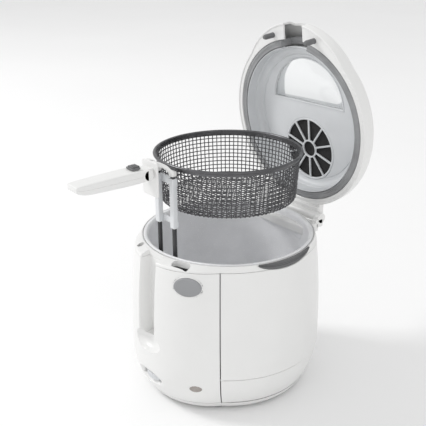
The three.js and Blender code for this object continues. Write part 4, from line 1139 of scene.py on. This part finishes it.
def lid_rim_shape():
    """Flat rim inside the lid's edge, from the shell's wall in to the gasket."""
    theta = around(90, 190)
    wall = lid_edge(theta) - LID_WALL + 0.2
    inner = 0 * theta + FLANGE_R - 0.6
    low, high = LID_SKIRT + 0.8, LID_SKIRT + 3.3
    corners = ((inner, low + 0.7), (inner + 0.7, low), (wall, low), (wall, high), (inner, high))
    band = grid(np.array([polar(r, theta, z) for r, z in corners]), wrap=True, ring=True)
    return cut(band, moved(plug(rounded_box(NOTCH_HALF, 60, 0.5), 150, 240), 0, -155))


def lid_shell_shape():
    """Domed shell with the window's and the vent's holes, the handle's notch and the hinge tail."""
    theta = around(90, 190)
    us = np.radians(np.concatenate([np.linspace(90, 70, 8), np.linspace(67, 0, 26)]))
    rows = [dome_ring(theta, u, LID_WALL) for u in us]
    wall = lid_edge(theta)
    edge = [(LID_WALL, LID_SPRING), (LID_WALL, LID_SKIRT), (0, LID_SKIRT), (0, LID_SPRING)]
    rows += [polar(wall - d, theta, z) for d, z in rounded(edge, [0, 0.9, 0.9, 0], steps=5)[1:-1]]
    rows += [dome_ring(theta, u, 0.0) for u in us[::-1]]
    shell = grid(np.array(rows), wrap=True)
    w, top, under = NOTCH_HALF, LID_SPRING + 11, 150
    notch = rounded([(w, under), (w, top), (-w, top), (-w, under)], [0, 4, 4, 0], closed=True)
    window_hole = plug(window_outline(2.1), DISH_FLOOR - 9.8, ABOVE_LID)
    vent_hole = moved(plug(circle(VENT_R + 0.4, 64), DISH_FLOOR - 9.8, ABOVE_LID), 0, FILTER_Y)
    shell = cut(shell, merged(window_hole, vent_hole, turned_by(slab(notch, 95, 200, 0.05), UPRIGHT)))
    t = TAIL_HALF
    knuckle = bar_x(HINGE_Y, HINGE_Z, 6.5, -t, t, 0.6)
    tail = block(-t, t, BODY_R * LID_SCALE + 1, HINGE_Y, HINGE_Z + 2, HINGE_Z + 13.5, 1.5)
    root = tail_web(t - 0.1, LID_SKIRT + 0.1, HINGE_Z + 13.4)
    skirt = block(-t, t, HINGE_Y - 6.3, HINGE_Y + 6.3, HINGE_Z, HINGE_Z + 8, 2.2)
    return merged(shell, lid_rim_shape(), knuckle, tail, root, skirt)


def liner_shape():
    """Dished inner skin with a fine step in its wall and a groove round its floor."""
    t, flange = 1.2, RIM_Z + 8.6
    profile = [
        (0, DISH_FLOOR),
        (DISH_R - 12.8, DISH_FLOOR),
        (DISH_R - 12.4, DISH_FLOOR + 0.8),
        (DISH_R - 11.4, DISH_FLOOR + 0.8),
        (DISH_R - 11, DISH_FLOOR),
        (DISH_R - 7, DISH_FLOOR),
        (DISH_R - 3, DISH_FLOOR - 2.5),
        (DISH_R - 1.7, DISH_FLOOR - 7.4),
        (DISH_R - 0.8, DISH_FLOOR - 8),
        (DISH_R, DISH_LOW),
        (DISH_R + t, DISH_LOW),
        (DISH_R + t, flange),
        (FLANGE_R, flange),
        (FLANGE_R, flange + t),
        (DISH_R + 0.6, flange + t),
        (DISH_R + t - 1, DISH_FLOOR - 7.6),
        (DISH_R + t - 3.1, DISH_FLOOR - 1.6),
        (DISH_R - 6.6, DISH_FLOOR + t),
        (0, DISH_FLOOR + t),
    ]
    radii = [0, 0.2, 0.2, 0.2, 0.2, 3, 3, 0.2, 0.2, 0.5, 0.5, 0.3, 0.3, 0.3, 0.3, 2, 2, 2, 0]
    liner = turned(rounded(profile, radii, steps=5), 180, closed=False)
    window_hole = plug(window_outline(2.1), DISH_FLOOR - 9.8, ABOVE_LID)
    filter_hole = moved(plug(circle(FILTER_R + 0.3, 96), DISH_FLOOR - 9.8, ABOVE_LID), 0, FILTER_Y)
    arch = moved(plug(rounded_box(24.3, 52.75, 0.5), RIM_Z - 12, RIM_Z + 10.8), 0, -147.25)
    return cut(liner, merged(window_hole, filter_hole), arch)


def gasket_shape():
    """Lipped sealing ring that steps up over the basket's arms at the front."""
    stretches = [np.linspace(-16, -13.2, 5), np.linspace(-12.9, -11.2, 22), np.linspace(-11, 11, 30)]
    front = np.radians(np.concatenate(stretches))
    front = np.unique(np.concatenate([front, -front]))
    rest = np.linspace(front[-1], 2 * math.pi + front[0], 190)[1:-1]
    theta = np.concatenate([front, rest])
    lift = step(np.abs(107 * np.sin(theta)), 22.9, 0.22) * (np.cos(theta) > 0)
    loops = []
    for k in lift:
        low, high = RIM_Z + 0.8 + 17.4 * k, RIM_Z + 8 + 13.0 * k
        mid = (low + high) / 2
        profile = [(102.3, low + 0.4), (103.4, low), (105.6, low + 0.9), (108.6, low + 0.2)]
        profile += [(110.6, low + 0.7)]
        profile += [(111.5, low + 1.8), (110.9, mid), (111.5, high), (102.3, high), (102.9, mid)]
        loops.append(rounded(profile, 0.5, closed=True, steps=3))
    loops = np.array(loops)
    rows = np.swapaxes(polar(loops[..., 0], theta[:, None], loops[..., 1]), 0, 1)
    return grid(rows, wrap=True, ring=True)


def window_frame_shape():
    """Bezel round the glass, through both skins of the lid."""
    loops = []
    inner, outer = window_outline(0.0), window_outline(1.8)
    for (xi, yi), (xo, yo) in zip(inner, outer):
        top = dome_height((xi + xo) / 2, (yi + yo) / 2) + 0.4
        low = DISH_FLOOR - 0.9
        profile = [(0, low), (1, low), (1, top), (0, top)]
        ring = []
        for k, z in rounded(profile, [0.45, 0.45, 0.6, 0.6], closed=True, steps=3):
            k = min(max(k, 0), 1)
            ring.append((xi + (xo - xi) * k, yi + (yo - yi) * k, z))
        loops.append(ring)
    return grid(np.array(loops), wrap=True, ring=True)


def glass_shape():
    return slab(window_outline(-0.3), DISH_FLOOR + 2, DISH_FLOOR + 5, 0.3)


def grille_shape():
    """Rim, hub and ten spokes over the filter."""
    low, high = DISH_FLOOR - 0.8, DISH_FLOOR + 2
    rim = [(FILTER_R - 3, low + 0.5), (FILTER_R - 2.4, low), (FILTER_R - 0.6, low), (FILTER_R, low + 0.6)]
    rim += [(FILTER_R, high), (FILTER_R - 3, high)]
    hub = [(FILTER_HUB - 2.2, low), (FILTER_HUB, low), (FILTER_HUB, high), (FILTER_HUB - 2.2, high)]
    shapes = [turned(rounded(rim, 0.4, closed=True), 120), turned(rounded(hub, 0.6, closed=True), 64)]
    for i in range(10):
        spoke = block(FILTER_HUB - 1, FILTER_R - 1.2, -1.2, 1.2, low + 0.1, high - 0.2, 0.5)
        shapes.append(turned_by(spoke, Matrix.Rotation(math.radians(18 + 36 * i), 4, "Z")))
    return moved(merged(*shapes), 0, FILTER_Y, 0)


def felt_shape():
    """Filter disc whose face sags a little between the spokes."""
    r = np.concatenate([np.linspace(0, 43.5, 30), [44.4, 44.7]])
    a = np.linspace(0, 2 * math.pi, 160, endpoint=False)
    rr, aa = np.meshgrid(r, a, indexing="ij")
    sag = 0.5 * np.abs(np.sin(5 * (aa - math.radians(18)))) * smooth(rr, 12, 26) * (1 - smooth(rr, 38, 43))
    lumps = 0.12 * np.sin(rr * 1.9 + 3 * np.sin(aa * 7)) * np.sin(aa * 23)
    low = DISH_FLOOR + 2.6 - sag * 0.5 + lumps
    edge = smooth(rr, 43.6, 44.7) * 1.2
    face = np.stack([rr * np.sin(aa), FILTER_Y - rr * np.cos(aa), low + edge], -1)
    top = np.stack([44.7 * np.sin(a), FILTER_Y - 44.7 * np.cos(a), 0 * a + DISH_FLOOR + 6.6], -1)
    middle = np.stack([0 * a, 0 * a + FILTER_Y, 0 * a + DISH_FLOOR + 6.8], -1)
    return grid(np.concatenate([face, top[None], middle[None]]), wrap=True)


def vent_shape():
    """Slotted cover that follows the dome."""
    a = np.linspace(0, 2 * math.pi, 96, endpoint=False)
    rows = []
    for r in (0, 6, 12, 18, 22, 24.5, 25.4, 25.9):
        drop = 0.7 - 1.3 * smooth(r, 24.4, 26.2)
        z = [dome_height(r * math.sin(t), FILTER_Y - r * math.cos(t)) + drop for t in a]
        rows.append(np.stack([r * np.sin(a), FILTER_Y - r * np.cos(a), z], -1))
    for r in (25.9, 20, 12, 0):
        z = [dome_height(r * math.sin(t), FILTER_Y - r * math.cos(t)) - 2.4 for t in a]
        rows.append(np.stack([r * np.sin(a), FILTER_Y - r * np.cos(a), z], -1))
    slots = []
    for i in range(-2, 3):
        half = math.sqrt(22.0**2 - (i * 8.0) ** 2) - 0.5
        slot = plug(rounded_box(half, 1.5, 1.45), DISH_FLOOR - 10.8, ABOVE_LID)
        slots.append(moved(slot, 0, FILTER_Y + i * 8.0))
    return cut(grid(np.array(rows), wrap=True), merged(*slots))


def peg_shape(side):
    """Tapered peg that enters the collar."""
    tip, root = RIM_Z - 16, RIM_Z + 12
    profile = [(0, tip), (2.2, tip), (2.8, tip + 1.2), (PEG_R, tip + 3.4), (PEG_R, root), (0, root)]
    return moved(turned(rounded(profile, 0.7), 32, closed=False), side * PEG_X, -PEG_Y)


# ------------------------------------------------------------------ basket, its frame and the handle
def basket_profile(steps=30):
    """The wire wall's section from the floor's edge to the rim, as (radius, height)."""
    low = BASKET_LOW + 0.8
    section = [(78, low), (88.4, low), (89.0, low + 9), (BASKET_R - 0.4, BASKET_TOP - 3.5)]
    curve = rounded(section, [0, 7, 7, 0], steps=8)
    length = np.concatenate([[0], np.cumsum(np.linalg.norm(np.diff(curve, axis=0), axis=1))])
    at = np.linspace(0, length[-1], steps)
    return np.column_stack([np.interp(at, length, curve[:, 0]), np.interp(at, length, curve[:, 1])])


def woven_shape(count, wire_r, pitch):
    """Uprights and hoops of the wall passing over and under each other, with a square-woven floor."""
    profile = basket_profile()
    shapes = []
    levels = np.arange(BASKET_LOW + 3.0, BASKET_TOP - 3.5, pitch)
    for i in range(count):
        a = 2 * math.pi * i / count
        sway = 0.5 * wire_r * np.cos(math.pi * (profile[:, 1] - levels[0]) / pitch + math.pi * i)
        path = polar(profile[:, 0] - wire_r - 0.2 + sway, np.full(len(profile), a), profile[:, 1])
        shapes.append(wire(path, wire_r, 6, up=(math.cos(a), math.sin(a), 0)))
    order = np.argsort(profile[:, 1])
    a = np.linspace(0, 2 * math.pi, count * 2, endpoint=False)
    for k, z in enumerate(levels):
        r = float(np.interp(z, profile[order, 1], profile[order, 0]))
        sway = 0.5 * wire_r * np.cos(a * count / 2 + math.pi * k)
        shapes.append(wire(polar(r - wire_r - 0.2 - sway, a, z), wire_r, 6, closed=True))
    half = 81.5
    places = np.arange(-half + pitch / 2, half, pitch)
    for k, at in enumerate(places):
        reach = math.sqrt(half**2 - at**2)
        t = np.linspace(-reach, reach, max(int(reach * 2 / pitch * 2), 5))
        sway = 0.5 * wire_r * np.cos(math.pi * t / pitch + math.pi * k)
        flat = BASKET_LOW + 0.5 + wire_r
        shapes.append(wire(np.stack([t, 0 * t + at, flat + sway], -1), wire_r, 6))
        shapes.append(wire(np.stack([0 * t + at, t, flat - sway], -1), wire_r, 6, up=(1, 0, 0)))
    return merged(*shapes)


def rim_shape():
    """Rim wire with the folded band that holds the mesh to it."""
    a = np.linspace(0, 2 * math.pi, 220, endpoint=False)
    bead = wire(polar(BASKET_R + 1.5, a, BASKET_TOP - 0.5), 2.0, 14, closed=True)
    r = BASKET_R - 0.3
    low, high = BASKET_TOP - 6, BASKET_TOP - 1
    band = [(r - 0.9, low), (r + 0.2, low), (r + 0.3, high), (r - 0.8, high)]
    return merged(bead, turned(rounded(band, 0.3, closed=True), 220))


def bracket_shape():
    """Plate in front of the rim, two arms over it to the rods, and the neck of the handle's pivot."""
    back = GROOVE_FLOOR + 2.7
    front = back + 2.5
    plate = slab(rounded_box(GROOVE_HALF - 0.5, 21.5, 3.5), back, front, 0.6)
    plate = turned_by(moved(plate, 0, PIVOT_Z - 8.5), UPRIGHT)
    stations = [(5, front - 0.2, PIVOT_Z + 10, 5), (7, GROOVE_FLOOR, PIVOT_Z + 10, 5)]
    stations += [(11.5, 107.5, PIVOT_Z + 6, 4.5)]
    stations += [(ROD_X, ROD_Y + 2.8, PIVOT_Z - 1, 4.2), (ROD_X, ROD_Y - 2.7, PIVOT_Z - 3.5, 4.2)]
    stations = np.array(stations)
    t = np.linspace(0, 4, 41)
    fine = np.column_stack([smooth_through(stations[:, k], t) for k in range(4)])
    section = rounded([(1, 1), (-1, 1), (-1, -1), (1, -1)], 0.45, closed=True, steps=4)
    loops = []
    for x, dist, z, half in fine:
        loops.append([(x + half * u, -dist, z + 2.9 * v) for u, v in section])
    arm = capped(np.array(loops))
    x0, x1 = ROD_X - 4.1, ROD_X + 4.1
    pad = block(x0, x1, -ROD_Y - 3.8, -ROD_Y + 3, ROD_HIGH + 0.3, PIVOT_Z - 2, 0.9)
    neck = merged(
        block(-NECK_HALF, NECK_HALF, -PIVOT_Y, -120.5, PIVOT_Z - EYE_R, PIVOT_Z + EYE_R, 0.9),
        bar_x(-PIVOT_Y, PIVOT_Z, EYE_R, -NECK_HALF, NECK_HALF, 0.6),
    )
    return merged(plate, arm, mirrored(arm), pad, mirrored(pad), neck)


def smooth_through(values, t):
    """Catmull-Rom curve through values at whole numbers."""
    v = np.concatenate([[2 * values[0] - values[1]], values, [2 * values[-1] - values[-2]]])
    i = np.clip(t.astype(int), 0, len(values) - 2)
    f = t - i
    a, b, c, d = v[i], v[i + 1], v[i + 2], v[i + 3]
    return b + 0.5 * f * (c - a + f * (2 * a - 5 * b + 4 * c - d + f * (3 * (b - c) + d - a)))


def rods_shape(side):
    """Guide rod with chamfered ends."""
    profile = [(0, ROD_LOW), (ROD_R - 0.5, ROD_LOW), (ROD_R, ROD_LOW + 0.6)]
    profile += [(ROD_R, ROD_HIGH - 0.5), (ROD_R - 0.5, ROD_HIGH), (0, ROD_HIGH)]
    return moved(turned(profile, 28, closed=False), side * ROD_X, -ROD_Y)


def carrier_shape():
    """Two tubes that slide on the rods, tied together behind the basket's wall."""
    top, low = ROD_HIGH - 2.5, ROD_HIGH - 66.5
    shapes = []
    for side in (-1, 1):
        outer = rounded_box(4.2, 3.7, 1.5)
        stations = [(0.6, low), (0, low + 0.6), (0, low + 9), (0.35, low + 9.5)]
        stations += [(0.35, top - 9.5), (0, top - 9), (0, top - 0.6), (0.6, top), (0.95, top), (0.95, low)]
        rows = []
        for shrink, z in stations:
            rows.append(np.column_stack([inset(outer, shrink), np.full(len(outer), z)]))
        shapes.append(moved(grid(np.array(rows), wrap=True, ring=True), side * ROD_X, -ROD_Y))
    y0, y1 = -ROD_Y + 3.2, -BASKET_R - 2.4
    for z0, z1 in ((top - 11, top - 1), (low + 2, low + 10)):
        shapes.append(block(-ROD_X - 4.1, ROD_X + 4.1, y0, y1, z0, z1, 0.25))
    return merged(*shapes)


def foot_bar_shape():
    """Bar that ties the rods at the bottom."""
    return block(-ROD_X - 4, ROD_X + 4, -ROD_Y - 3, -ROD_Y + 4, ROD_LOW - 3.3, ROD_LOW + 0.7, 0.9)


def handle_shape():
    """Handle that tapers to a blunt tip, with a fine seam along its sides and two ears at the pivot."""
    h = HANDLE_HALF
    # distance from the pivot, half-width, underside and top, both from the pivot's height
    stations = [(8.0, h - 0.6, -6.8, 6.6), (9.2, h, -7.2, 7.0), (22.0, h, -7.5, 7.5)]
    stations += [(50.0, h - 0.2, -7.0, 7.3), (78.0, h - 0.6, -6.0, 6.7), (89.0, h - 1.1, -3.6, 6.2)]
    stations += [(93.0, h - 2.0, -1.6, 5.6), (94.0, h - 3.4, 0.2, 4.4)]
    stations = np.array(stations) + [PIVOT_Y, 0, PIVOT_Z, PIVOT_Z]
    t = np.linspace(0, len(stations) - 1, 71)
    fine = np.column_stack([smooth_through(stations[:, k], t) for k in range(4)])
    loops = []
    for dist, half, low, high in fine:
        mid, tall = (low + high) / 2, (high - low) / 2
        corner = min(3.0, tall * 0.6)
        side = [(half, tall), (half, 0.35), (half - 0.45, 0), (half, -0.35), (half, -tall)]
        profile = side + [(-u, -v) for u, v in side]
        ring = rounded(profile, [corner, 0, 0, 0, corner] * 2, closed=True, steps=5)
        loops.append([(u, -dist, mid + v) for u, v in ring])
    body = capped(np.array(loops))
    ears = []
    for side in (-1, 1):
        x0, x1 = sorted((side * (NECK_HALF + 0.6), side * (HANDLE_HALF - 0.1)))
        ears.append(block(x0, x1, -PIVOT_Y - 10, -PIVOT_Y, PIVOT_Z - EYE_R, PIVOT_Z + EYE_R, 0.5))
        ears.append(bar_x(-PIVOT_Y, PIVOT_Z, EYE_R, x0, x1, 0.5))
    return merged(body, *ears)


def slider_shape():
    """Ribbed thumb slider on the handle."""
    low, high = PIVOT_Z + 7.9, PIVOT_Z + 12
    shapes = [block(-7, 7, -PIVOT_Y - 19, -PIVOT_Y - 7.5, low, high - 1.6, 0.6)]
    for i in range(5):
        y = -PIVOT_Y - 17.2 + i * 2.0
        shapes.append(block(-5.6, 5.6, y, y + 1.1, high - 2.2, high, 0.35))
    return merged(*shapes)


# ------------------------------------------------------------------ settings
def tint(name, about, default):
    """A colour that a user can change."""
    return bpy.props.FloatVectorProperty(
        name=name, description=about, default=default, subtype="COLOR", min=0.0, max=1.0, size=3
    )


class FryerColours(bpy.types.PropertyGroup):
    """Finishes of the fryer."""

    casing: tint("Casing", "Colour of the white casing, lid and handle", (0.8, 0.8, 0.792))
    lining: tint("Lining", "Colour of the lid's lining and the light plastic parts", (0.68, 0.695, 0.71))
    button: tint("Button", "Colour of the release button", (0.3, 0.305, 0.315))
    grip: tint(
        "Grips", "Colour of the side grips, the lid's pegs and the handle's lock", (0.15, 0.152, 0.156)
    )
    gasket: tint("Gasket", "Colour of the lid's sealing ring and the feet", (0.26, 0.264, 0.27))
    bowl: tint("Bowl", "Colour of the bowl's coating", (0.86, 0.865, 0.88))
    wire: tint("Wire", "Colour of the basket's wire", (0.13, 0.13, 0.135))
    rod: tint("Rods", "Colour of the frame's rods", (0.07, 0.07, 0.073))
    lens: tint("Lens", "Colour of the pilot lamp's lens", (0.3, 0.27, 0.25))
    floor: tint("Floor", "Colour of the studio floor", (0.93, 0.93, 0.93))


class FryerSizes(bpy.types.PropertyGroup):
    """Fine sizes that don't touch the frame's fits."""

    uprights: bpy.props.IntProperty(
        name="Basket uprights", description="Upright wires round the basket", default=96, min=24, max=160
    )
    mesh_wire: bpy.props.FloatProperty(
        name="Mesh wire",
        description="Radius of the mesh's wire",
        default=0.00068,
        min=0.0003,
        max=0.0012,
        unit="LENGTH",
    )
    mesh_pitch: bpy.props.FloatProperty(
        name="Mesh pitch",
        description="Distance between the basket's hoops",
        default=0.0054,
        min=0.003,
        max=0.012,
        unit="LENGTH",
    )
    bezel: bpy.props.FloatProperty(
        name="Bezel bead",
        description="Radius of the bead round the button",
        default=0.0009,
        min=0.0004,
        max=0.0015,
        unit="LENGTH",
    )


class FryerView(bpy.types.PropertyGroup):
    """Where the camera stands and how bright the studio is."""

    azimuth: bpy.props.FloatProperty(
        name="Azimuth",
        description="Direction of the camera from the front",
        default=math.radians(50),
        subtype="ANGLE",
    )
    distance: bpy.props.FloatProperty(
        name="Distance", description="Camera's distance from the bowl's axis", default=0.8845, unit="LENGTH"
    )
    height: bpy.props.FloatProperty(
        name="Height", description="Camera's height above the table", default=0.5847, unit="LENGTH"
    )
    pitch: bpy.props.FloatProperty(
        name="Pitch", description="How far the camera looks down", default=math.radians(21.6), subtype="ANGLE"
    )
    turn: bpy.props.FloatProperty(
        name="Turn",
        description="How far the camera looks past the bowl's axis",
        default=math.radians(1.3),
        subtype="ANGLE",
    )
    roll: bpy.props.FloatProperty(
        name="Roll", description="How far the camera leans", default=math.radians(-0.6), subtype="ANGLE"
    )
    lens: bpy.props.FloatProperty(
        name="Focal length",
        description="Focal length in millimetres on a 36 mm sensor",
        default=60.85,
        min=20,
        max=200,
    )
    key: bpy.props.FloatProperty(
        name="Key light", description="Power of the key light in watts", default=66.0, min=0
    )
    sky: bpy.props.FloatProperty(
        name="Sky", description="Strength of the white surroundings", default=0.82, min=0
    )


# ------------------------------------------------------------------ operators
class BuildOperator:
    """Shared frame of the building steps."""

    bl_options = {"REGISTER", "UNDO"}

    def execute(self, context):
        self.build(context.scene)
        return {"FINISHED"}


class FRYER_OT_finishes(BuildOperator, bpy.types.Operator):
    """Makes the shader groups and one material for each finish"""

    bl_idname = "fryer.finishes"
    bl_label = "Finishes"

    def build(self, scene):
        make_groups()
        make_finishes(scene.fryer_colours)


class FRYER_OT_casing(BuildOperator, bpy.types.Operator):
    """Builds the casing's mouldings, grips, feet and cord gland"""

    bl_idname = "fryer.casing"
    bl_label = "Casing"

    def build(self, scene):
        white, dark = FINISHES["white"], FINISHES["dark"]
        piece("Outer housing", housing_shape(), "casing", white, "white_plastic", ["outer_housing"])
        piece("Control column", panel_shape(), "casing", white, "white_plastic", ["front_panel"])
        piece("Rim collar", collar_shape(), "casing", white, "white_plastic", ["rim_collar"])
        piece("Base tray", tray_shape(), "casing", white, "white_plastic", ["base_tray"])
        piece("Right grip", grip_shape(), "casing", dark, "dark_plastic", ["right_grip"])
        piece("Left grip", mirrored(grip_shape()), "casing", dark, "dark_plastic", ["left_grip"])
        piece("Hinge bracket", hinge_bracket_shape(), "casing", white, "white_plastic", ["hinge_bracket"])
        soft, steel_finish = FINISHES["rubber"], FINISHES["steel"]
        for corner, at in zip(("front_left", "front_right", "rear_left", "rear_right"), FOOT_PLACES):
            node = "foot_" + corner
            piece(plain_name(node), foot_shape(*at), "casing", soft, "rubber", [node])
        for i, at in enumerate(SCREW_PLACES, 1):
            node = f"base_screw_{i}"
            piece(plain_name(node), screw_shape(*at), "casing", steel_finish, "steel_wire", [node])
        piece("Cord gland", gland_shape(), "casing", FINISHES["black"], "black_plastic", ["cord_gland"])
        dress("hinge_pin", FINISHES["steel"])


class FRYER_OT_bowl(BuildOperator, bpy.types.Operator):
    """Builds the coated bowl and finishes the heater under it"""

    bl_idname = "fryer.bowl"
    bl_label = "Bowl and heater"

    def build(self, scene):
        marks = []
        for z, spread in ((RIM_Z - 52, 0.16), (RIM_Z - 92, 0.12)):
            marks.append(wall_mark(math.pi - 0.5, math.pi - 0.5 + spread, z, 0.7))
        boss = wall_boss(math.pi - 0.28, RIM_Z - 24, 11.0, 7.5)
        piece("Bowl", merged(bowl_shape(), boss, *marks), "casing", FINISHES["bowl"], "bowl_coat", ["bowl"])
        for node, finish in (
            ("inner_pan", "sheet"),
            ("heat_plate", "sheet"),
            ("heating_element", "rod"),
            ("thermal_fuse", "steel"),
            ("thermostat", "black"),
            ("dial_shaft", "steel"),
            ("pilot_lamp", "glass"),
            ("terminal_block", "black"),
            ("wiring_loom", "black"),
            ("latch_slide", "light"),
        ):
            dress(node, FINISHES[finish])


class FRYER_OT_controls(BuildOperator, bpy.types.Operator):
    """Builds the release button, the thermostat's dial and the pilot lamp's lens"""

    bl_idname = "fryer.controls"
    bl_label = "Controls"

    def build(self, scene):
        bead = scene.fryer_sizes.bezel / MM
        grey = FINISHES["grey"]
        piece("Release button", button_shape(), "button", grey, "grey_plastic", ["release_button"])
        bezels = merged(
            panel_ring(BUTTON_X, BUTTON_Z, BUTTON_HALF + 0.8, BUTTON_TALL + 0.8, bead, -0.35),
            panel_ring(PILOT_X, PILOT_Z, PILOT_HALF + 0.6, PILOT_TALL + 0.6, bead * 0.6, -0.25),
        )
        piece("Bezels", bezels, "casing", FINISHES["white"], "white_plastic")
        light = FINISHES["light"]
        piece("Thermostat dial", dial_shape(), "dial", light, "light_plastic", ["thermostat_dial"])
        piece("Pilot lens", lens_shape(), "casing", FINISHES["lens"], "lamp_lens", ["pilot_lens"])
        dress("button_spring", FINISHES["steel"])


class FRYER_OT_lid(BuildOperator, bpy.types.Operator):
    """Builds the open lid with its window, filter, seal and pegs"""

    bl_idname = "fryer.lid"
    bl_label = "Lid"

    def build(self, scene):
        white, light, dark = FINISHES["white"], FINISHES["light"], FINISHES["dark"]
        for name, shape, finish, slot, nodes in (
            ("Lid shell", lid_shell_shape(), white, "white_plastic", ["lid_shell"]),
            ("Lid lining", liner_shape(), light, "light_plastic", ["lid_liner"]),
            ("Lid gasket", gasket_shape(), FINISHES["rubber"], "rubber", ["lid_gasket"]),
            ("Window frame", window_frame_shape(), light, "light_plastic", ["window_frame"]),
            ("Window glass", glass_shape(), FINISHES["glass"], "clear_glass", ["window_glass"]),
            ("Filter grille", grille_shape(), light, "light_plastic", ["filter_grille"]),
            ("Filter pad", felt_shape(), FINISHES["felt"], "black_foam", ["filter_pad"]),
            ("Vent cover", vent_shape(), light, "light_plastic", ["vent_cover"]),
            ("Left lid peg", peg_shape(-1), dark, "dark_plastic", ["lid_peg_left"]),
            ("Right lid peg", peg_shape(1), dark, "dark_plastic", ["lid_peg_right"]),
        ):
            piece(name, opened(shape), "lid", finish, slot, nodes)
        dress("filter_chamber", light)


class FRYER_OT_basket(BuildOperator, bpy.types.Operator):
    """Builds the woven basket with its rim and sliding carrier"""

    bl_idname = "fryer.basket"
    bl_label = "Basket"

    def build(self, scene):
        sizes = scene.fryer_sizes
        woven = woven_shape(sizes.uprights, sizes.mesh_wire / MM, sizes.mesh_pitch / MM)
        wire_finish = FINISHES["wire"]
        piece("Basket mesh", woven, "basket", wire_finish, "basket_wire", ["basket_mesh"], crease=80)
        piece("Basket rim", rim_shape(), "basket", wire_finish, "basket_wire", ["basket_rim"])
        light = FINISHES["light"]
        piece("Slide carrier", carrier_shape(), "basket", light, "light_plastic", ["slide_carrier"])


class FRYER_OT_frame(BuildOperator, bpy.types.Operator):
    """Builds the lifting frame, the folding handle and its lock"""

    bl_idname = "fryer.frame"
    bl_label = "Frame and handle"

    def build(self, scene):
        white, rod = FINISHES["white"], FINISHES["rod"]
        piece("Hook bracket", bracket_shape(), "frame", white, "white_plastic", ["hook_bracket"])
        piece("Left rod", rods_shape(-1), "frame", rod, "dark_steel", ["left_rod"])
        piece("Right rod", rods_shape(1), "frame", rod, "dark_steel", ["right_rod"])
        piece("Rod foot", foot_bar_shape(), "frame", rod, "dark_steel", ["rod_foot"])
        piece("Handle", handle_shape(), "handle", white, "white_plastic", ["handle_grip"])
        piece("Lock slider", slider_shape(), "lock", FINISHES["dark"], "dark_plastic", ["lock_slider"])
        dress("handle_pin", FINISHES["steel"])


class FRYER_OT_stage(BuildOperator, bpy.types.Operator):
    """Sets the floor, the soft lights and the camera"""

    bl_idname = "fryer.stage"
    bl_label = "Stage"

    def lamp(self, scene, name, power, size, at, target=(0, 0, 0.15)):
        """A square soft light aimed at the object."""
        light = bpy.data.lights.new(name, "AREA")
        light.energy = power
        light.size = size
        obj = bpy.data.objects.new(name, light)
        obj.location = at
        obj.rotation_euler = (Vector(target) - Vector(at)).to_track_quat("-Z", "Y").to_euler()
        scene.collection.objects.link(obj)

    def build(self, scene):
        view = scene.fryer_view
        floor_mesh = bpy.data.meshes.new("Floor")
        floor_mesh.from_pydata([(-9, -9, 0), (9, -9, 0), (9, 9, 0), (-9, 9, 0)], [], [(0, 1, 2, 3)])
        floor_mesh.materials.append(FINISHES["floor"])
        floor = bpy.data.objects.new("Floor", floor_mesh)
        scene.collection.objects.link(floor)
        floor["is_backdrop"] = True
        world = bpy.data.worlds.new("Studio")
        world.use_nodes = True
        backdrop = world.node_tree.nodes["Background"]
        backdrop.inputs["Color"].default_value = (1, 1, 1, 1)
        backdrop.inputs["Strength"].default_value = view.sky
        scene.world = world
        self.lamp(scene, "Key", view.key, 0.95, (-2.5, -1.95, 3.0))
        self.lamp(scene, "Fill", view.key * 0.06, 1.6, (1.8, -0.9, 1.1))
        camera = bpy.data.cameras.new("Camera")
        camera.sensor_width = 36
        camera.lens = view.lens
        obj = bpy.data.objects.new("Camera", camera)
        at = Vector((math.sin(view.azimuth), -math.cos(view.azimuth), 0)) * view.distance
        obj.location = at + Vector((0, AXIS_Y * MM, view.height))
        heading = view.azimuth + view.turn
        turn = Matrix.Rotation(heading, 4, "Z") @ Matrix.Rotation(math.pi / 2 - view.pitch, 4, "X")
        obj.rotation_euler = (turn @ Matrix.Rotation(view.roll, 4, "Z")).to_euler()
        scene.collection.objects.link(obj)
        scene.camera = obj
        scene.view_settings.view_transform = "Standard"


class FRYER_PT_panel(bpy.types.Panel):
    """Settings and building steps of the deep fryer"""

    bl_idname = "FRYER_PT_panel"
    bl_label = "Deep Fryer"
    bl_space_type = "VIEW_3D"
    bl_region_type = "UI"
    bl_category = "Fryer"

    def draw(self, context):
        layout = self.layout
        for group in (context.scene.fryer_sizes, context.scene.fryer_colours, context.scene.fryer_view):
            box = layout.box()
            for name in group.bl_rna.properties.keys():
                if name not in {"rna_type", "name"}:
                    box.prop(group, name)
        for step in STEPS:
            layout.operator(step.bl_idname)


STEPS = (
    FRYER_OT_finishes,
    FRYER_OT_casing,
    FRYER_OT_bowl,
    FRYER_OT_controls,
    FRYER_OT_lid,
    FRYER_OT_basket,
    FRYER_OT_frame,
    FRYER_OT_stage,
)
CLASSES = (FryerColours, FryerSizes, FryerView, *STEPS, FRYER_PT_panel)
SETTINGS = {"fryer_colours": FryerColours, "fryer_sizes": FryerSizes, "fryer_view": FryerView}


def register():
    for cls in CLASSES:
        bpy.utils.register_class(cls)
    for name, group in SETTINGS.items():
        setattr(bpy.types.Scene, name, bpy.props.PointerProperty(type=group))


def unregister():
    for name in SETTINGS:
        delattr(bpy.types.Scene, name)
    for cls in reversed(CLASSES):
        bpy.utils.unregister_class(cls)


def main():
    register()
    bpy.ops.fryer.finishes()
    bpy.ops.fryer.casing()
    bpy.ops.fryer.bowl()
    bpy.ops.fryer.controls()
    bpy.ops.fryer.lid()
    bpy.ops.fryer.basket()
    bpy.ops.fryer.frame()
    bpy.ops.fryer.stage()
    sizes = {"cad": CAD_BOX, "scene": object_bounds()}
    {key: [list(corner) for corner in corners] for key, corners in sizes.items()}


if __name__ == "__main__":
    main()
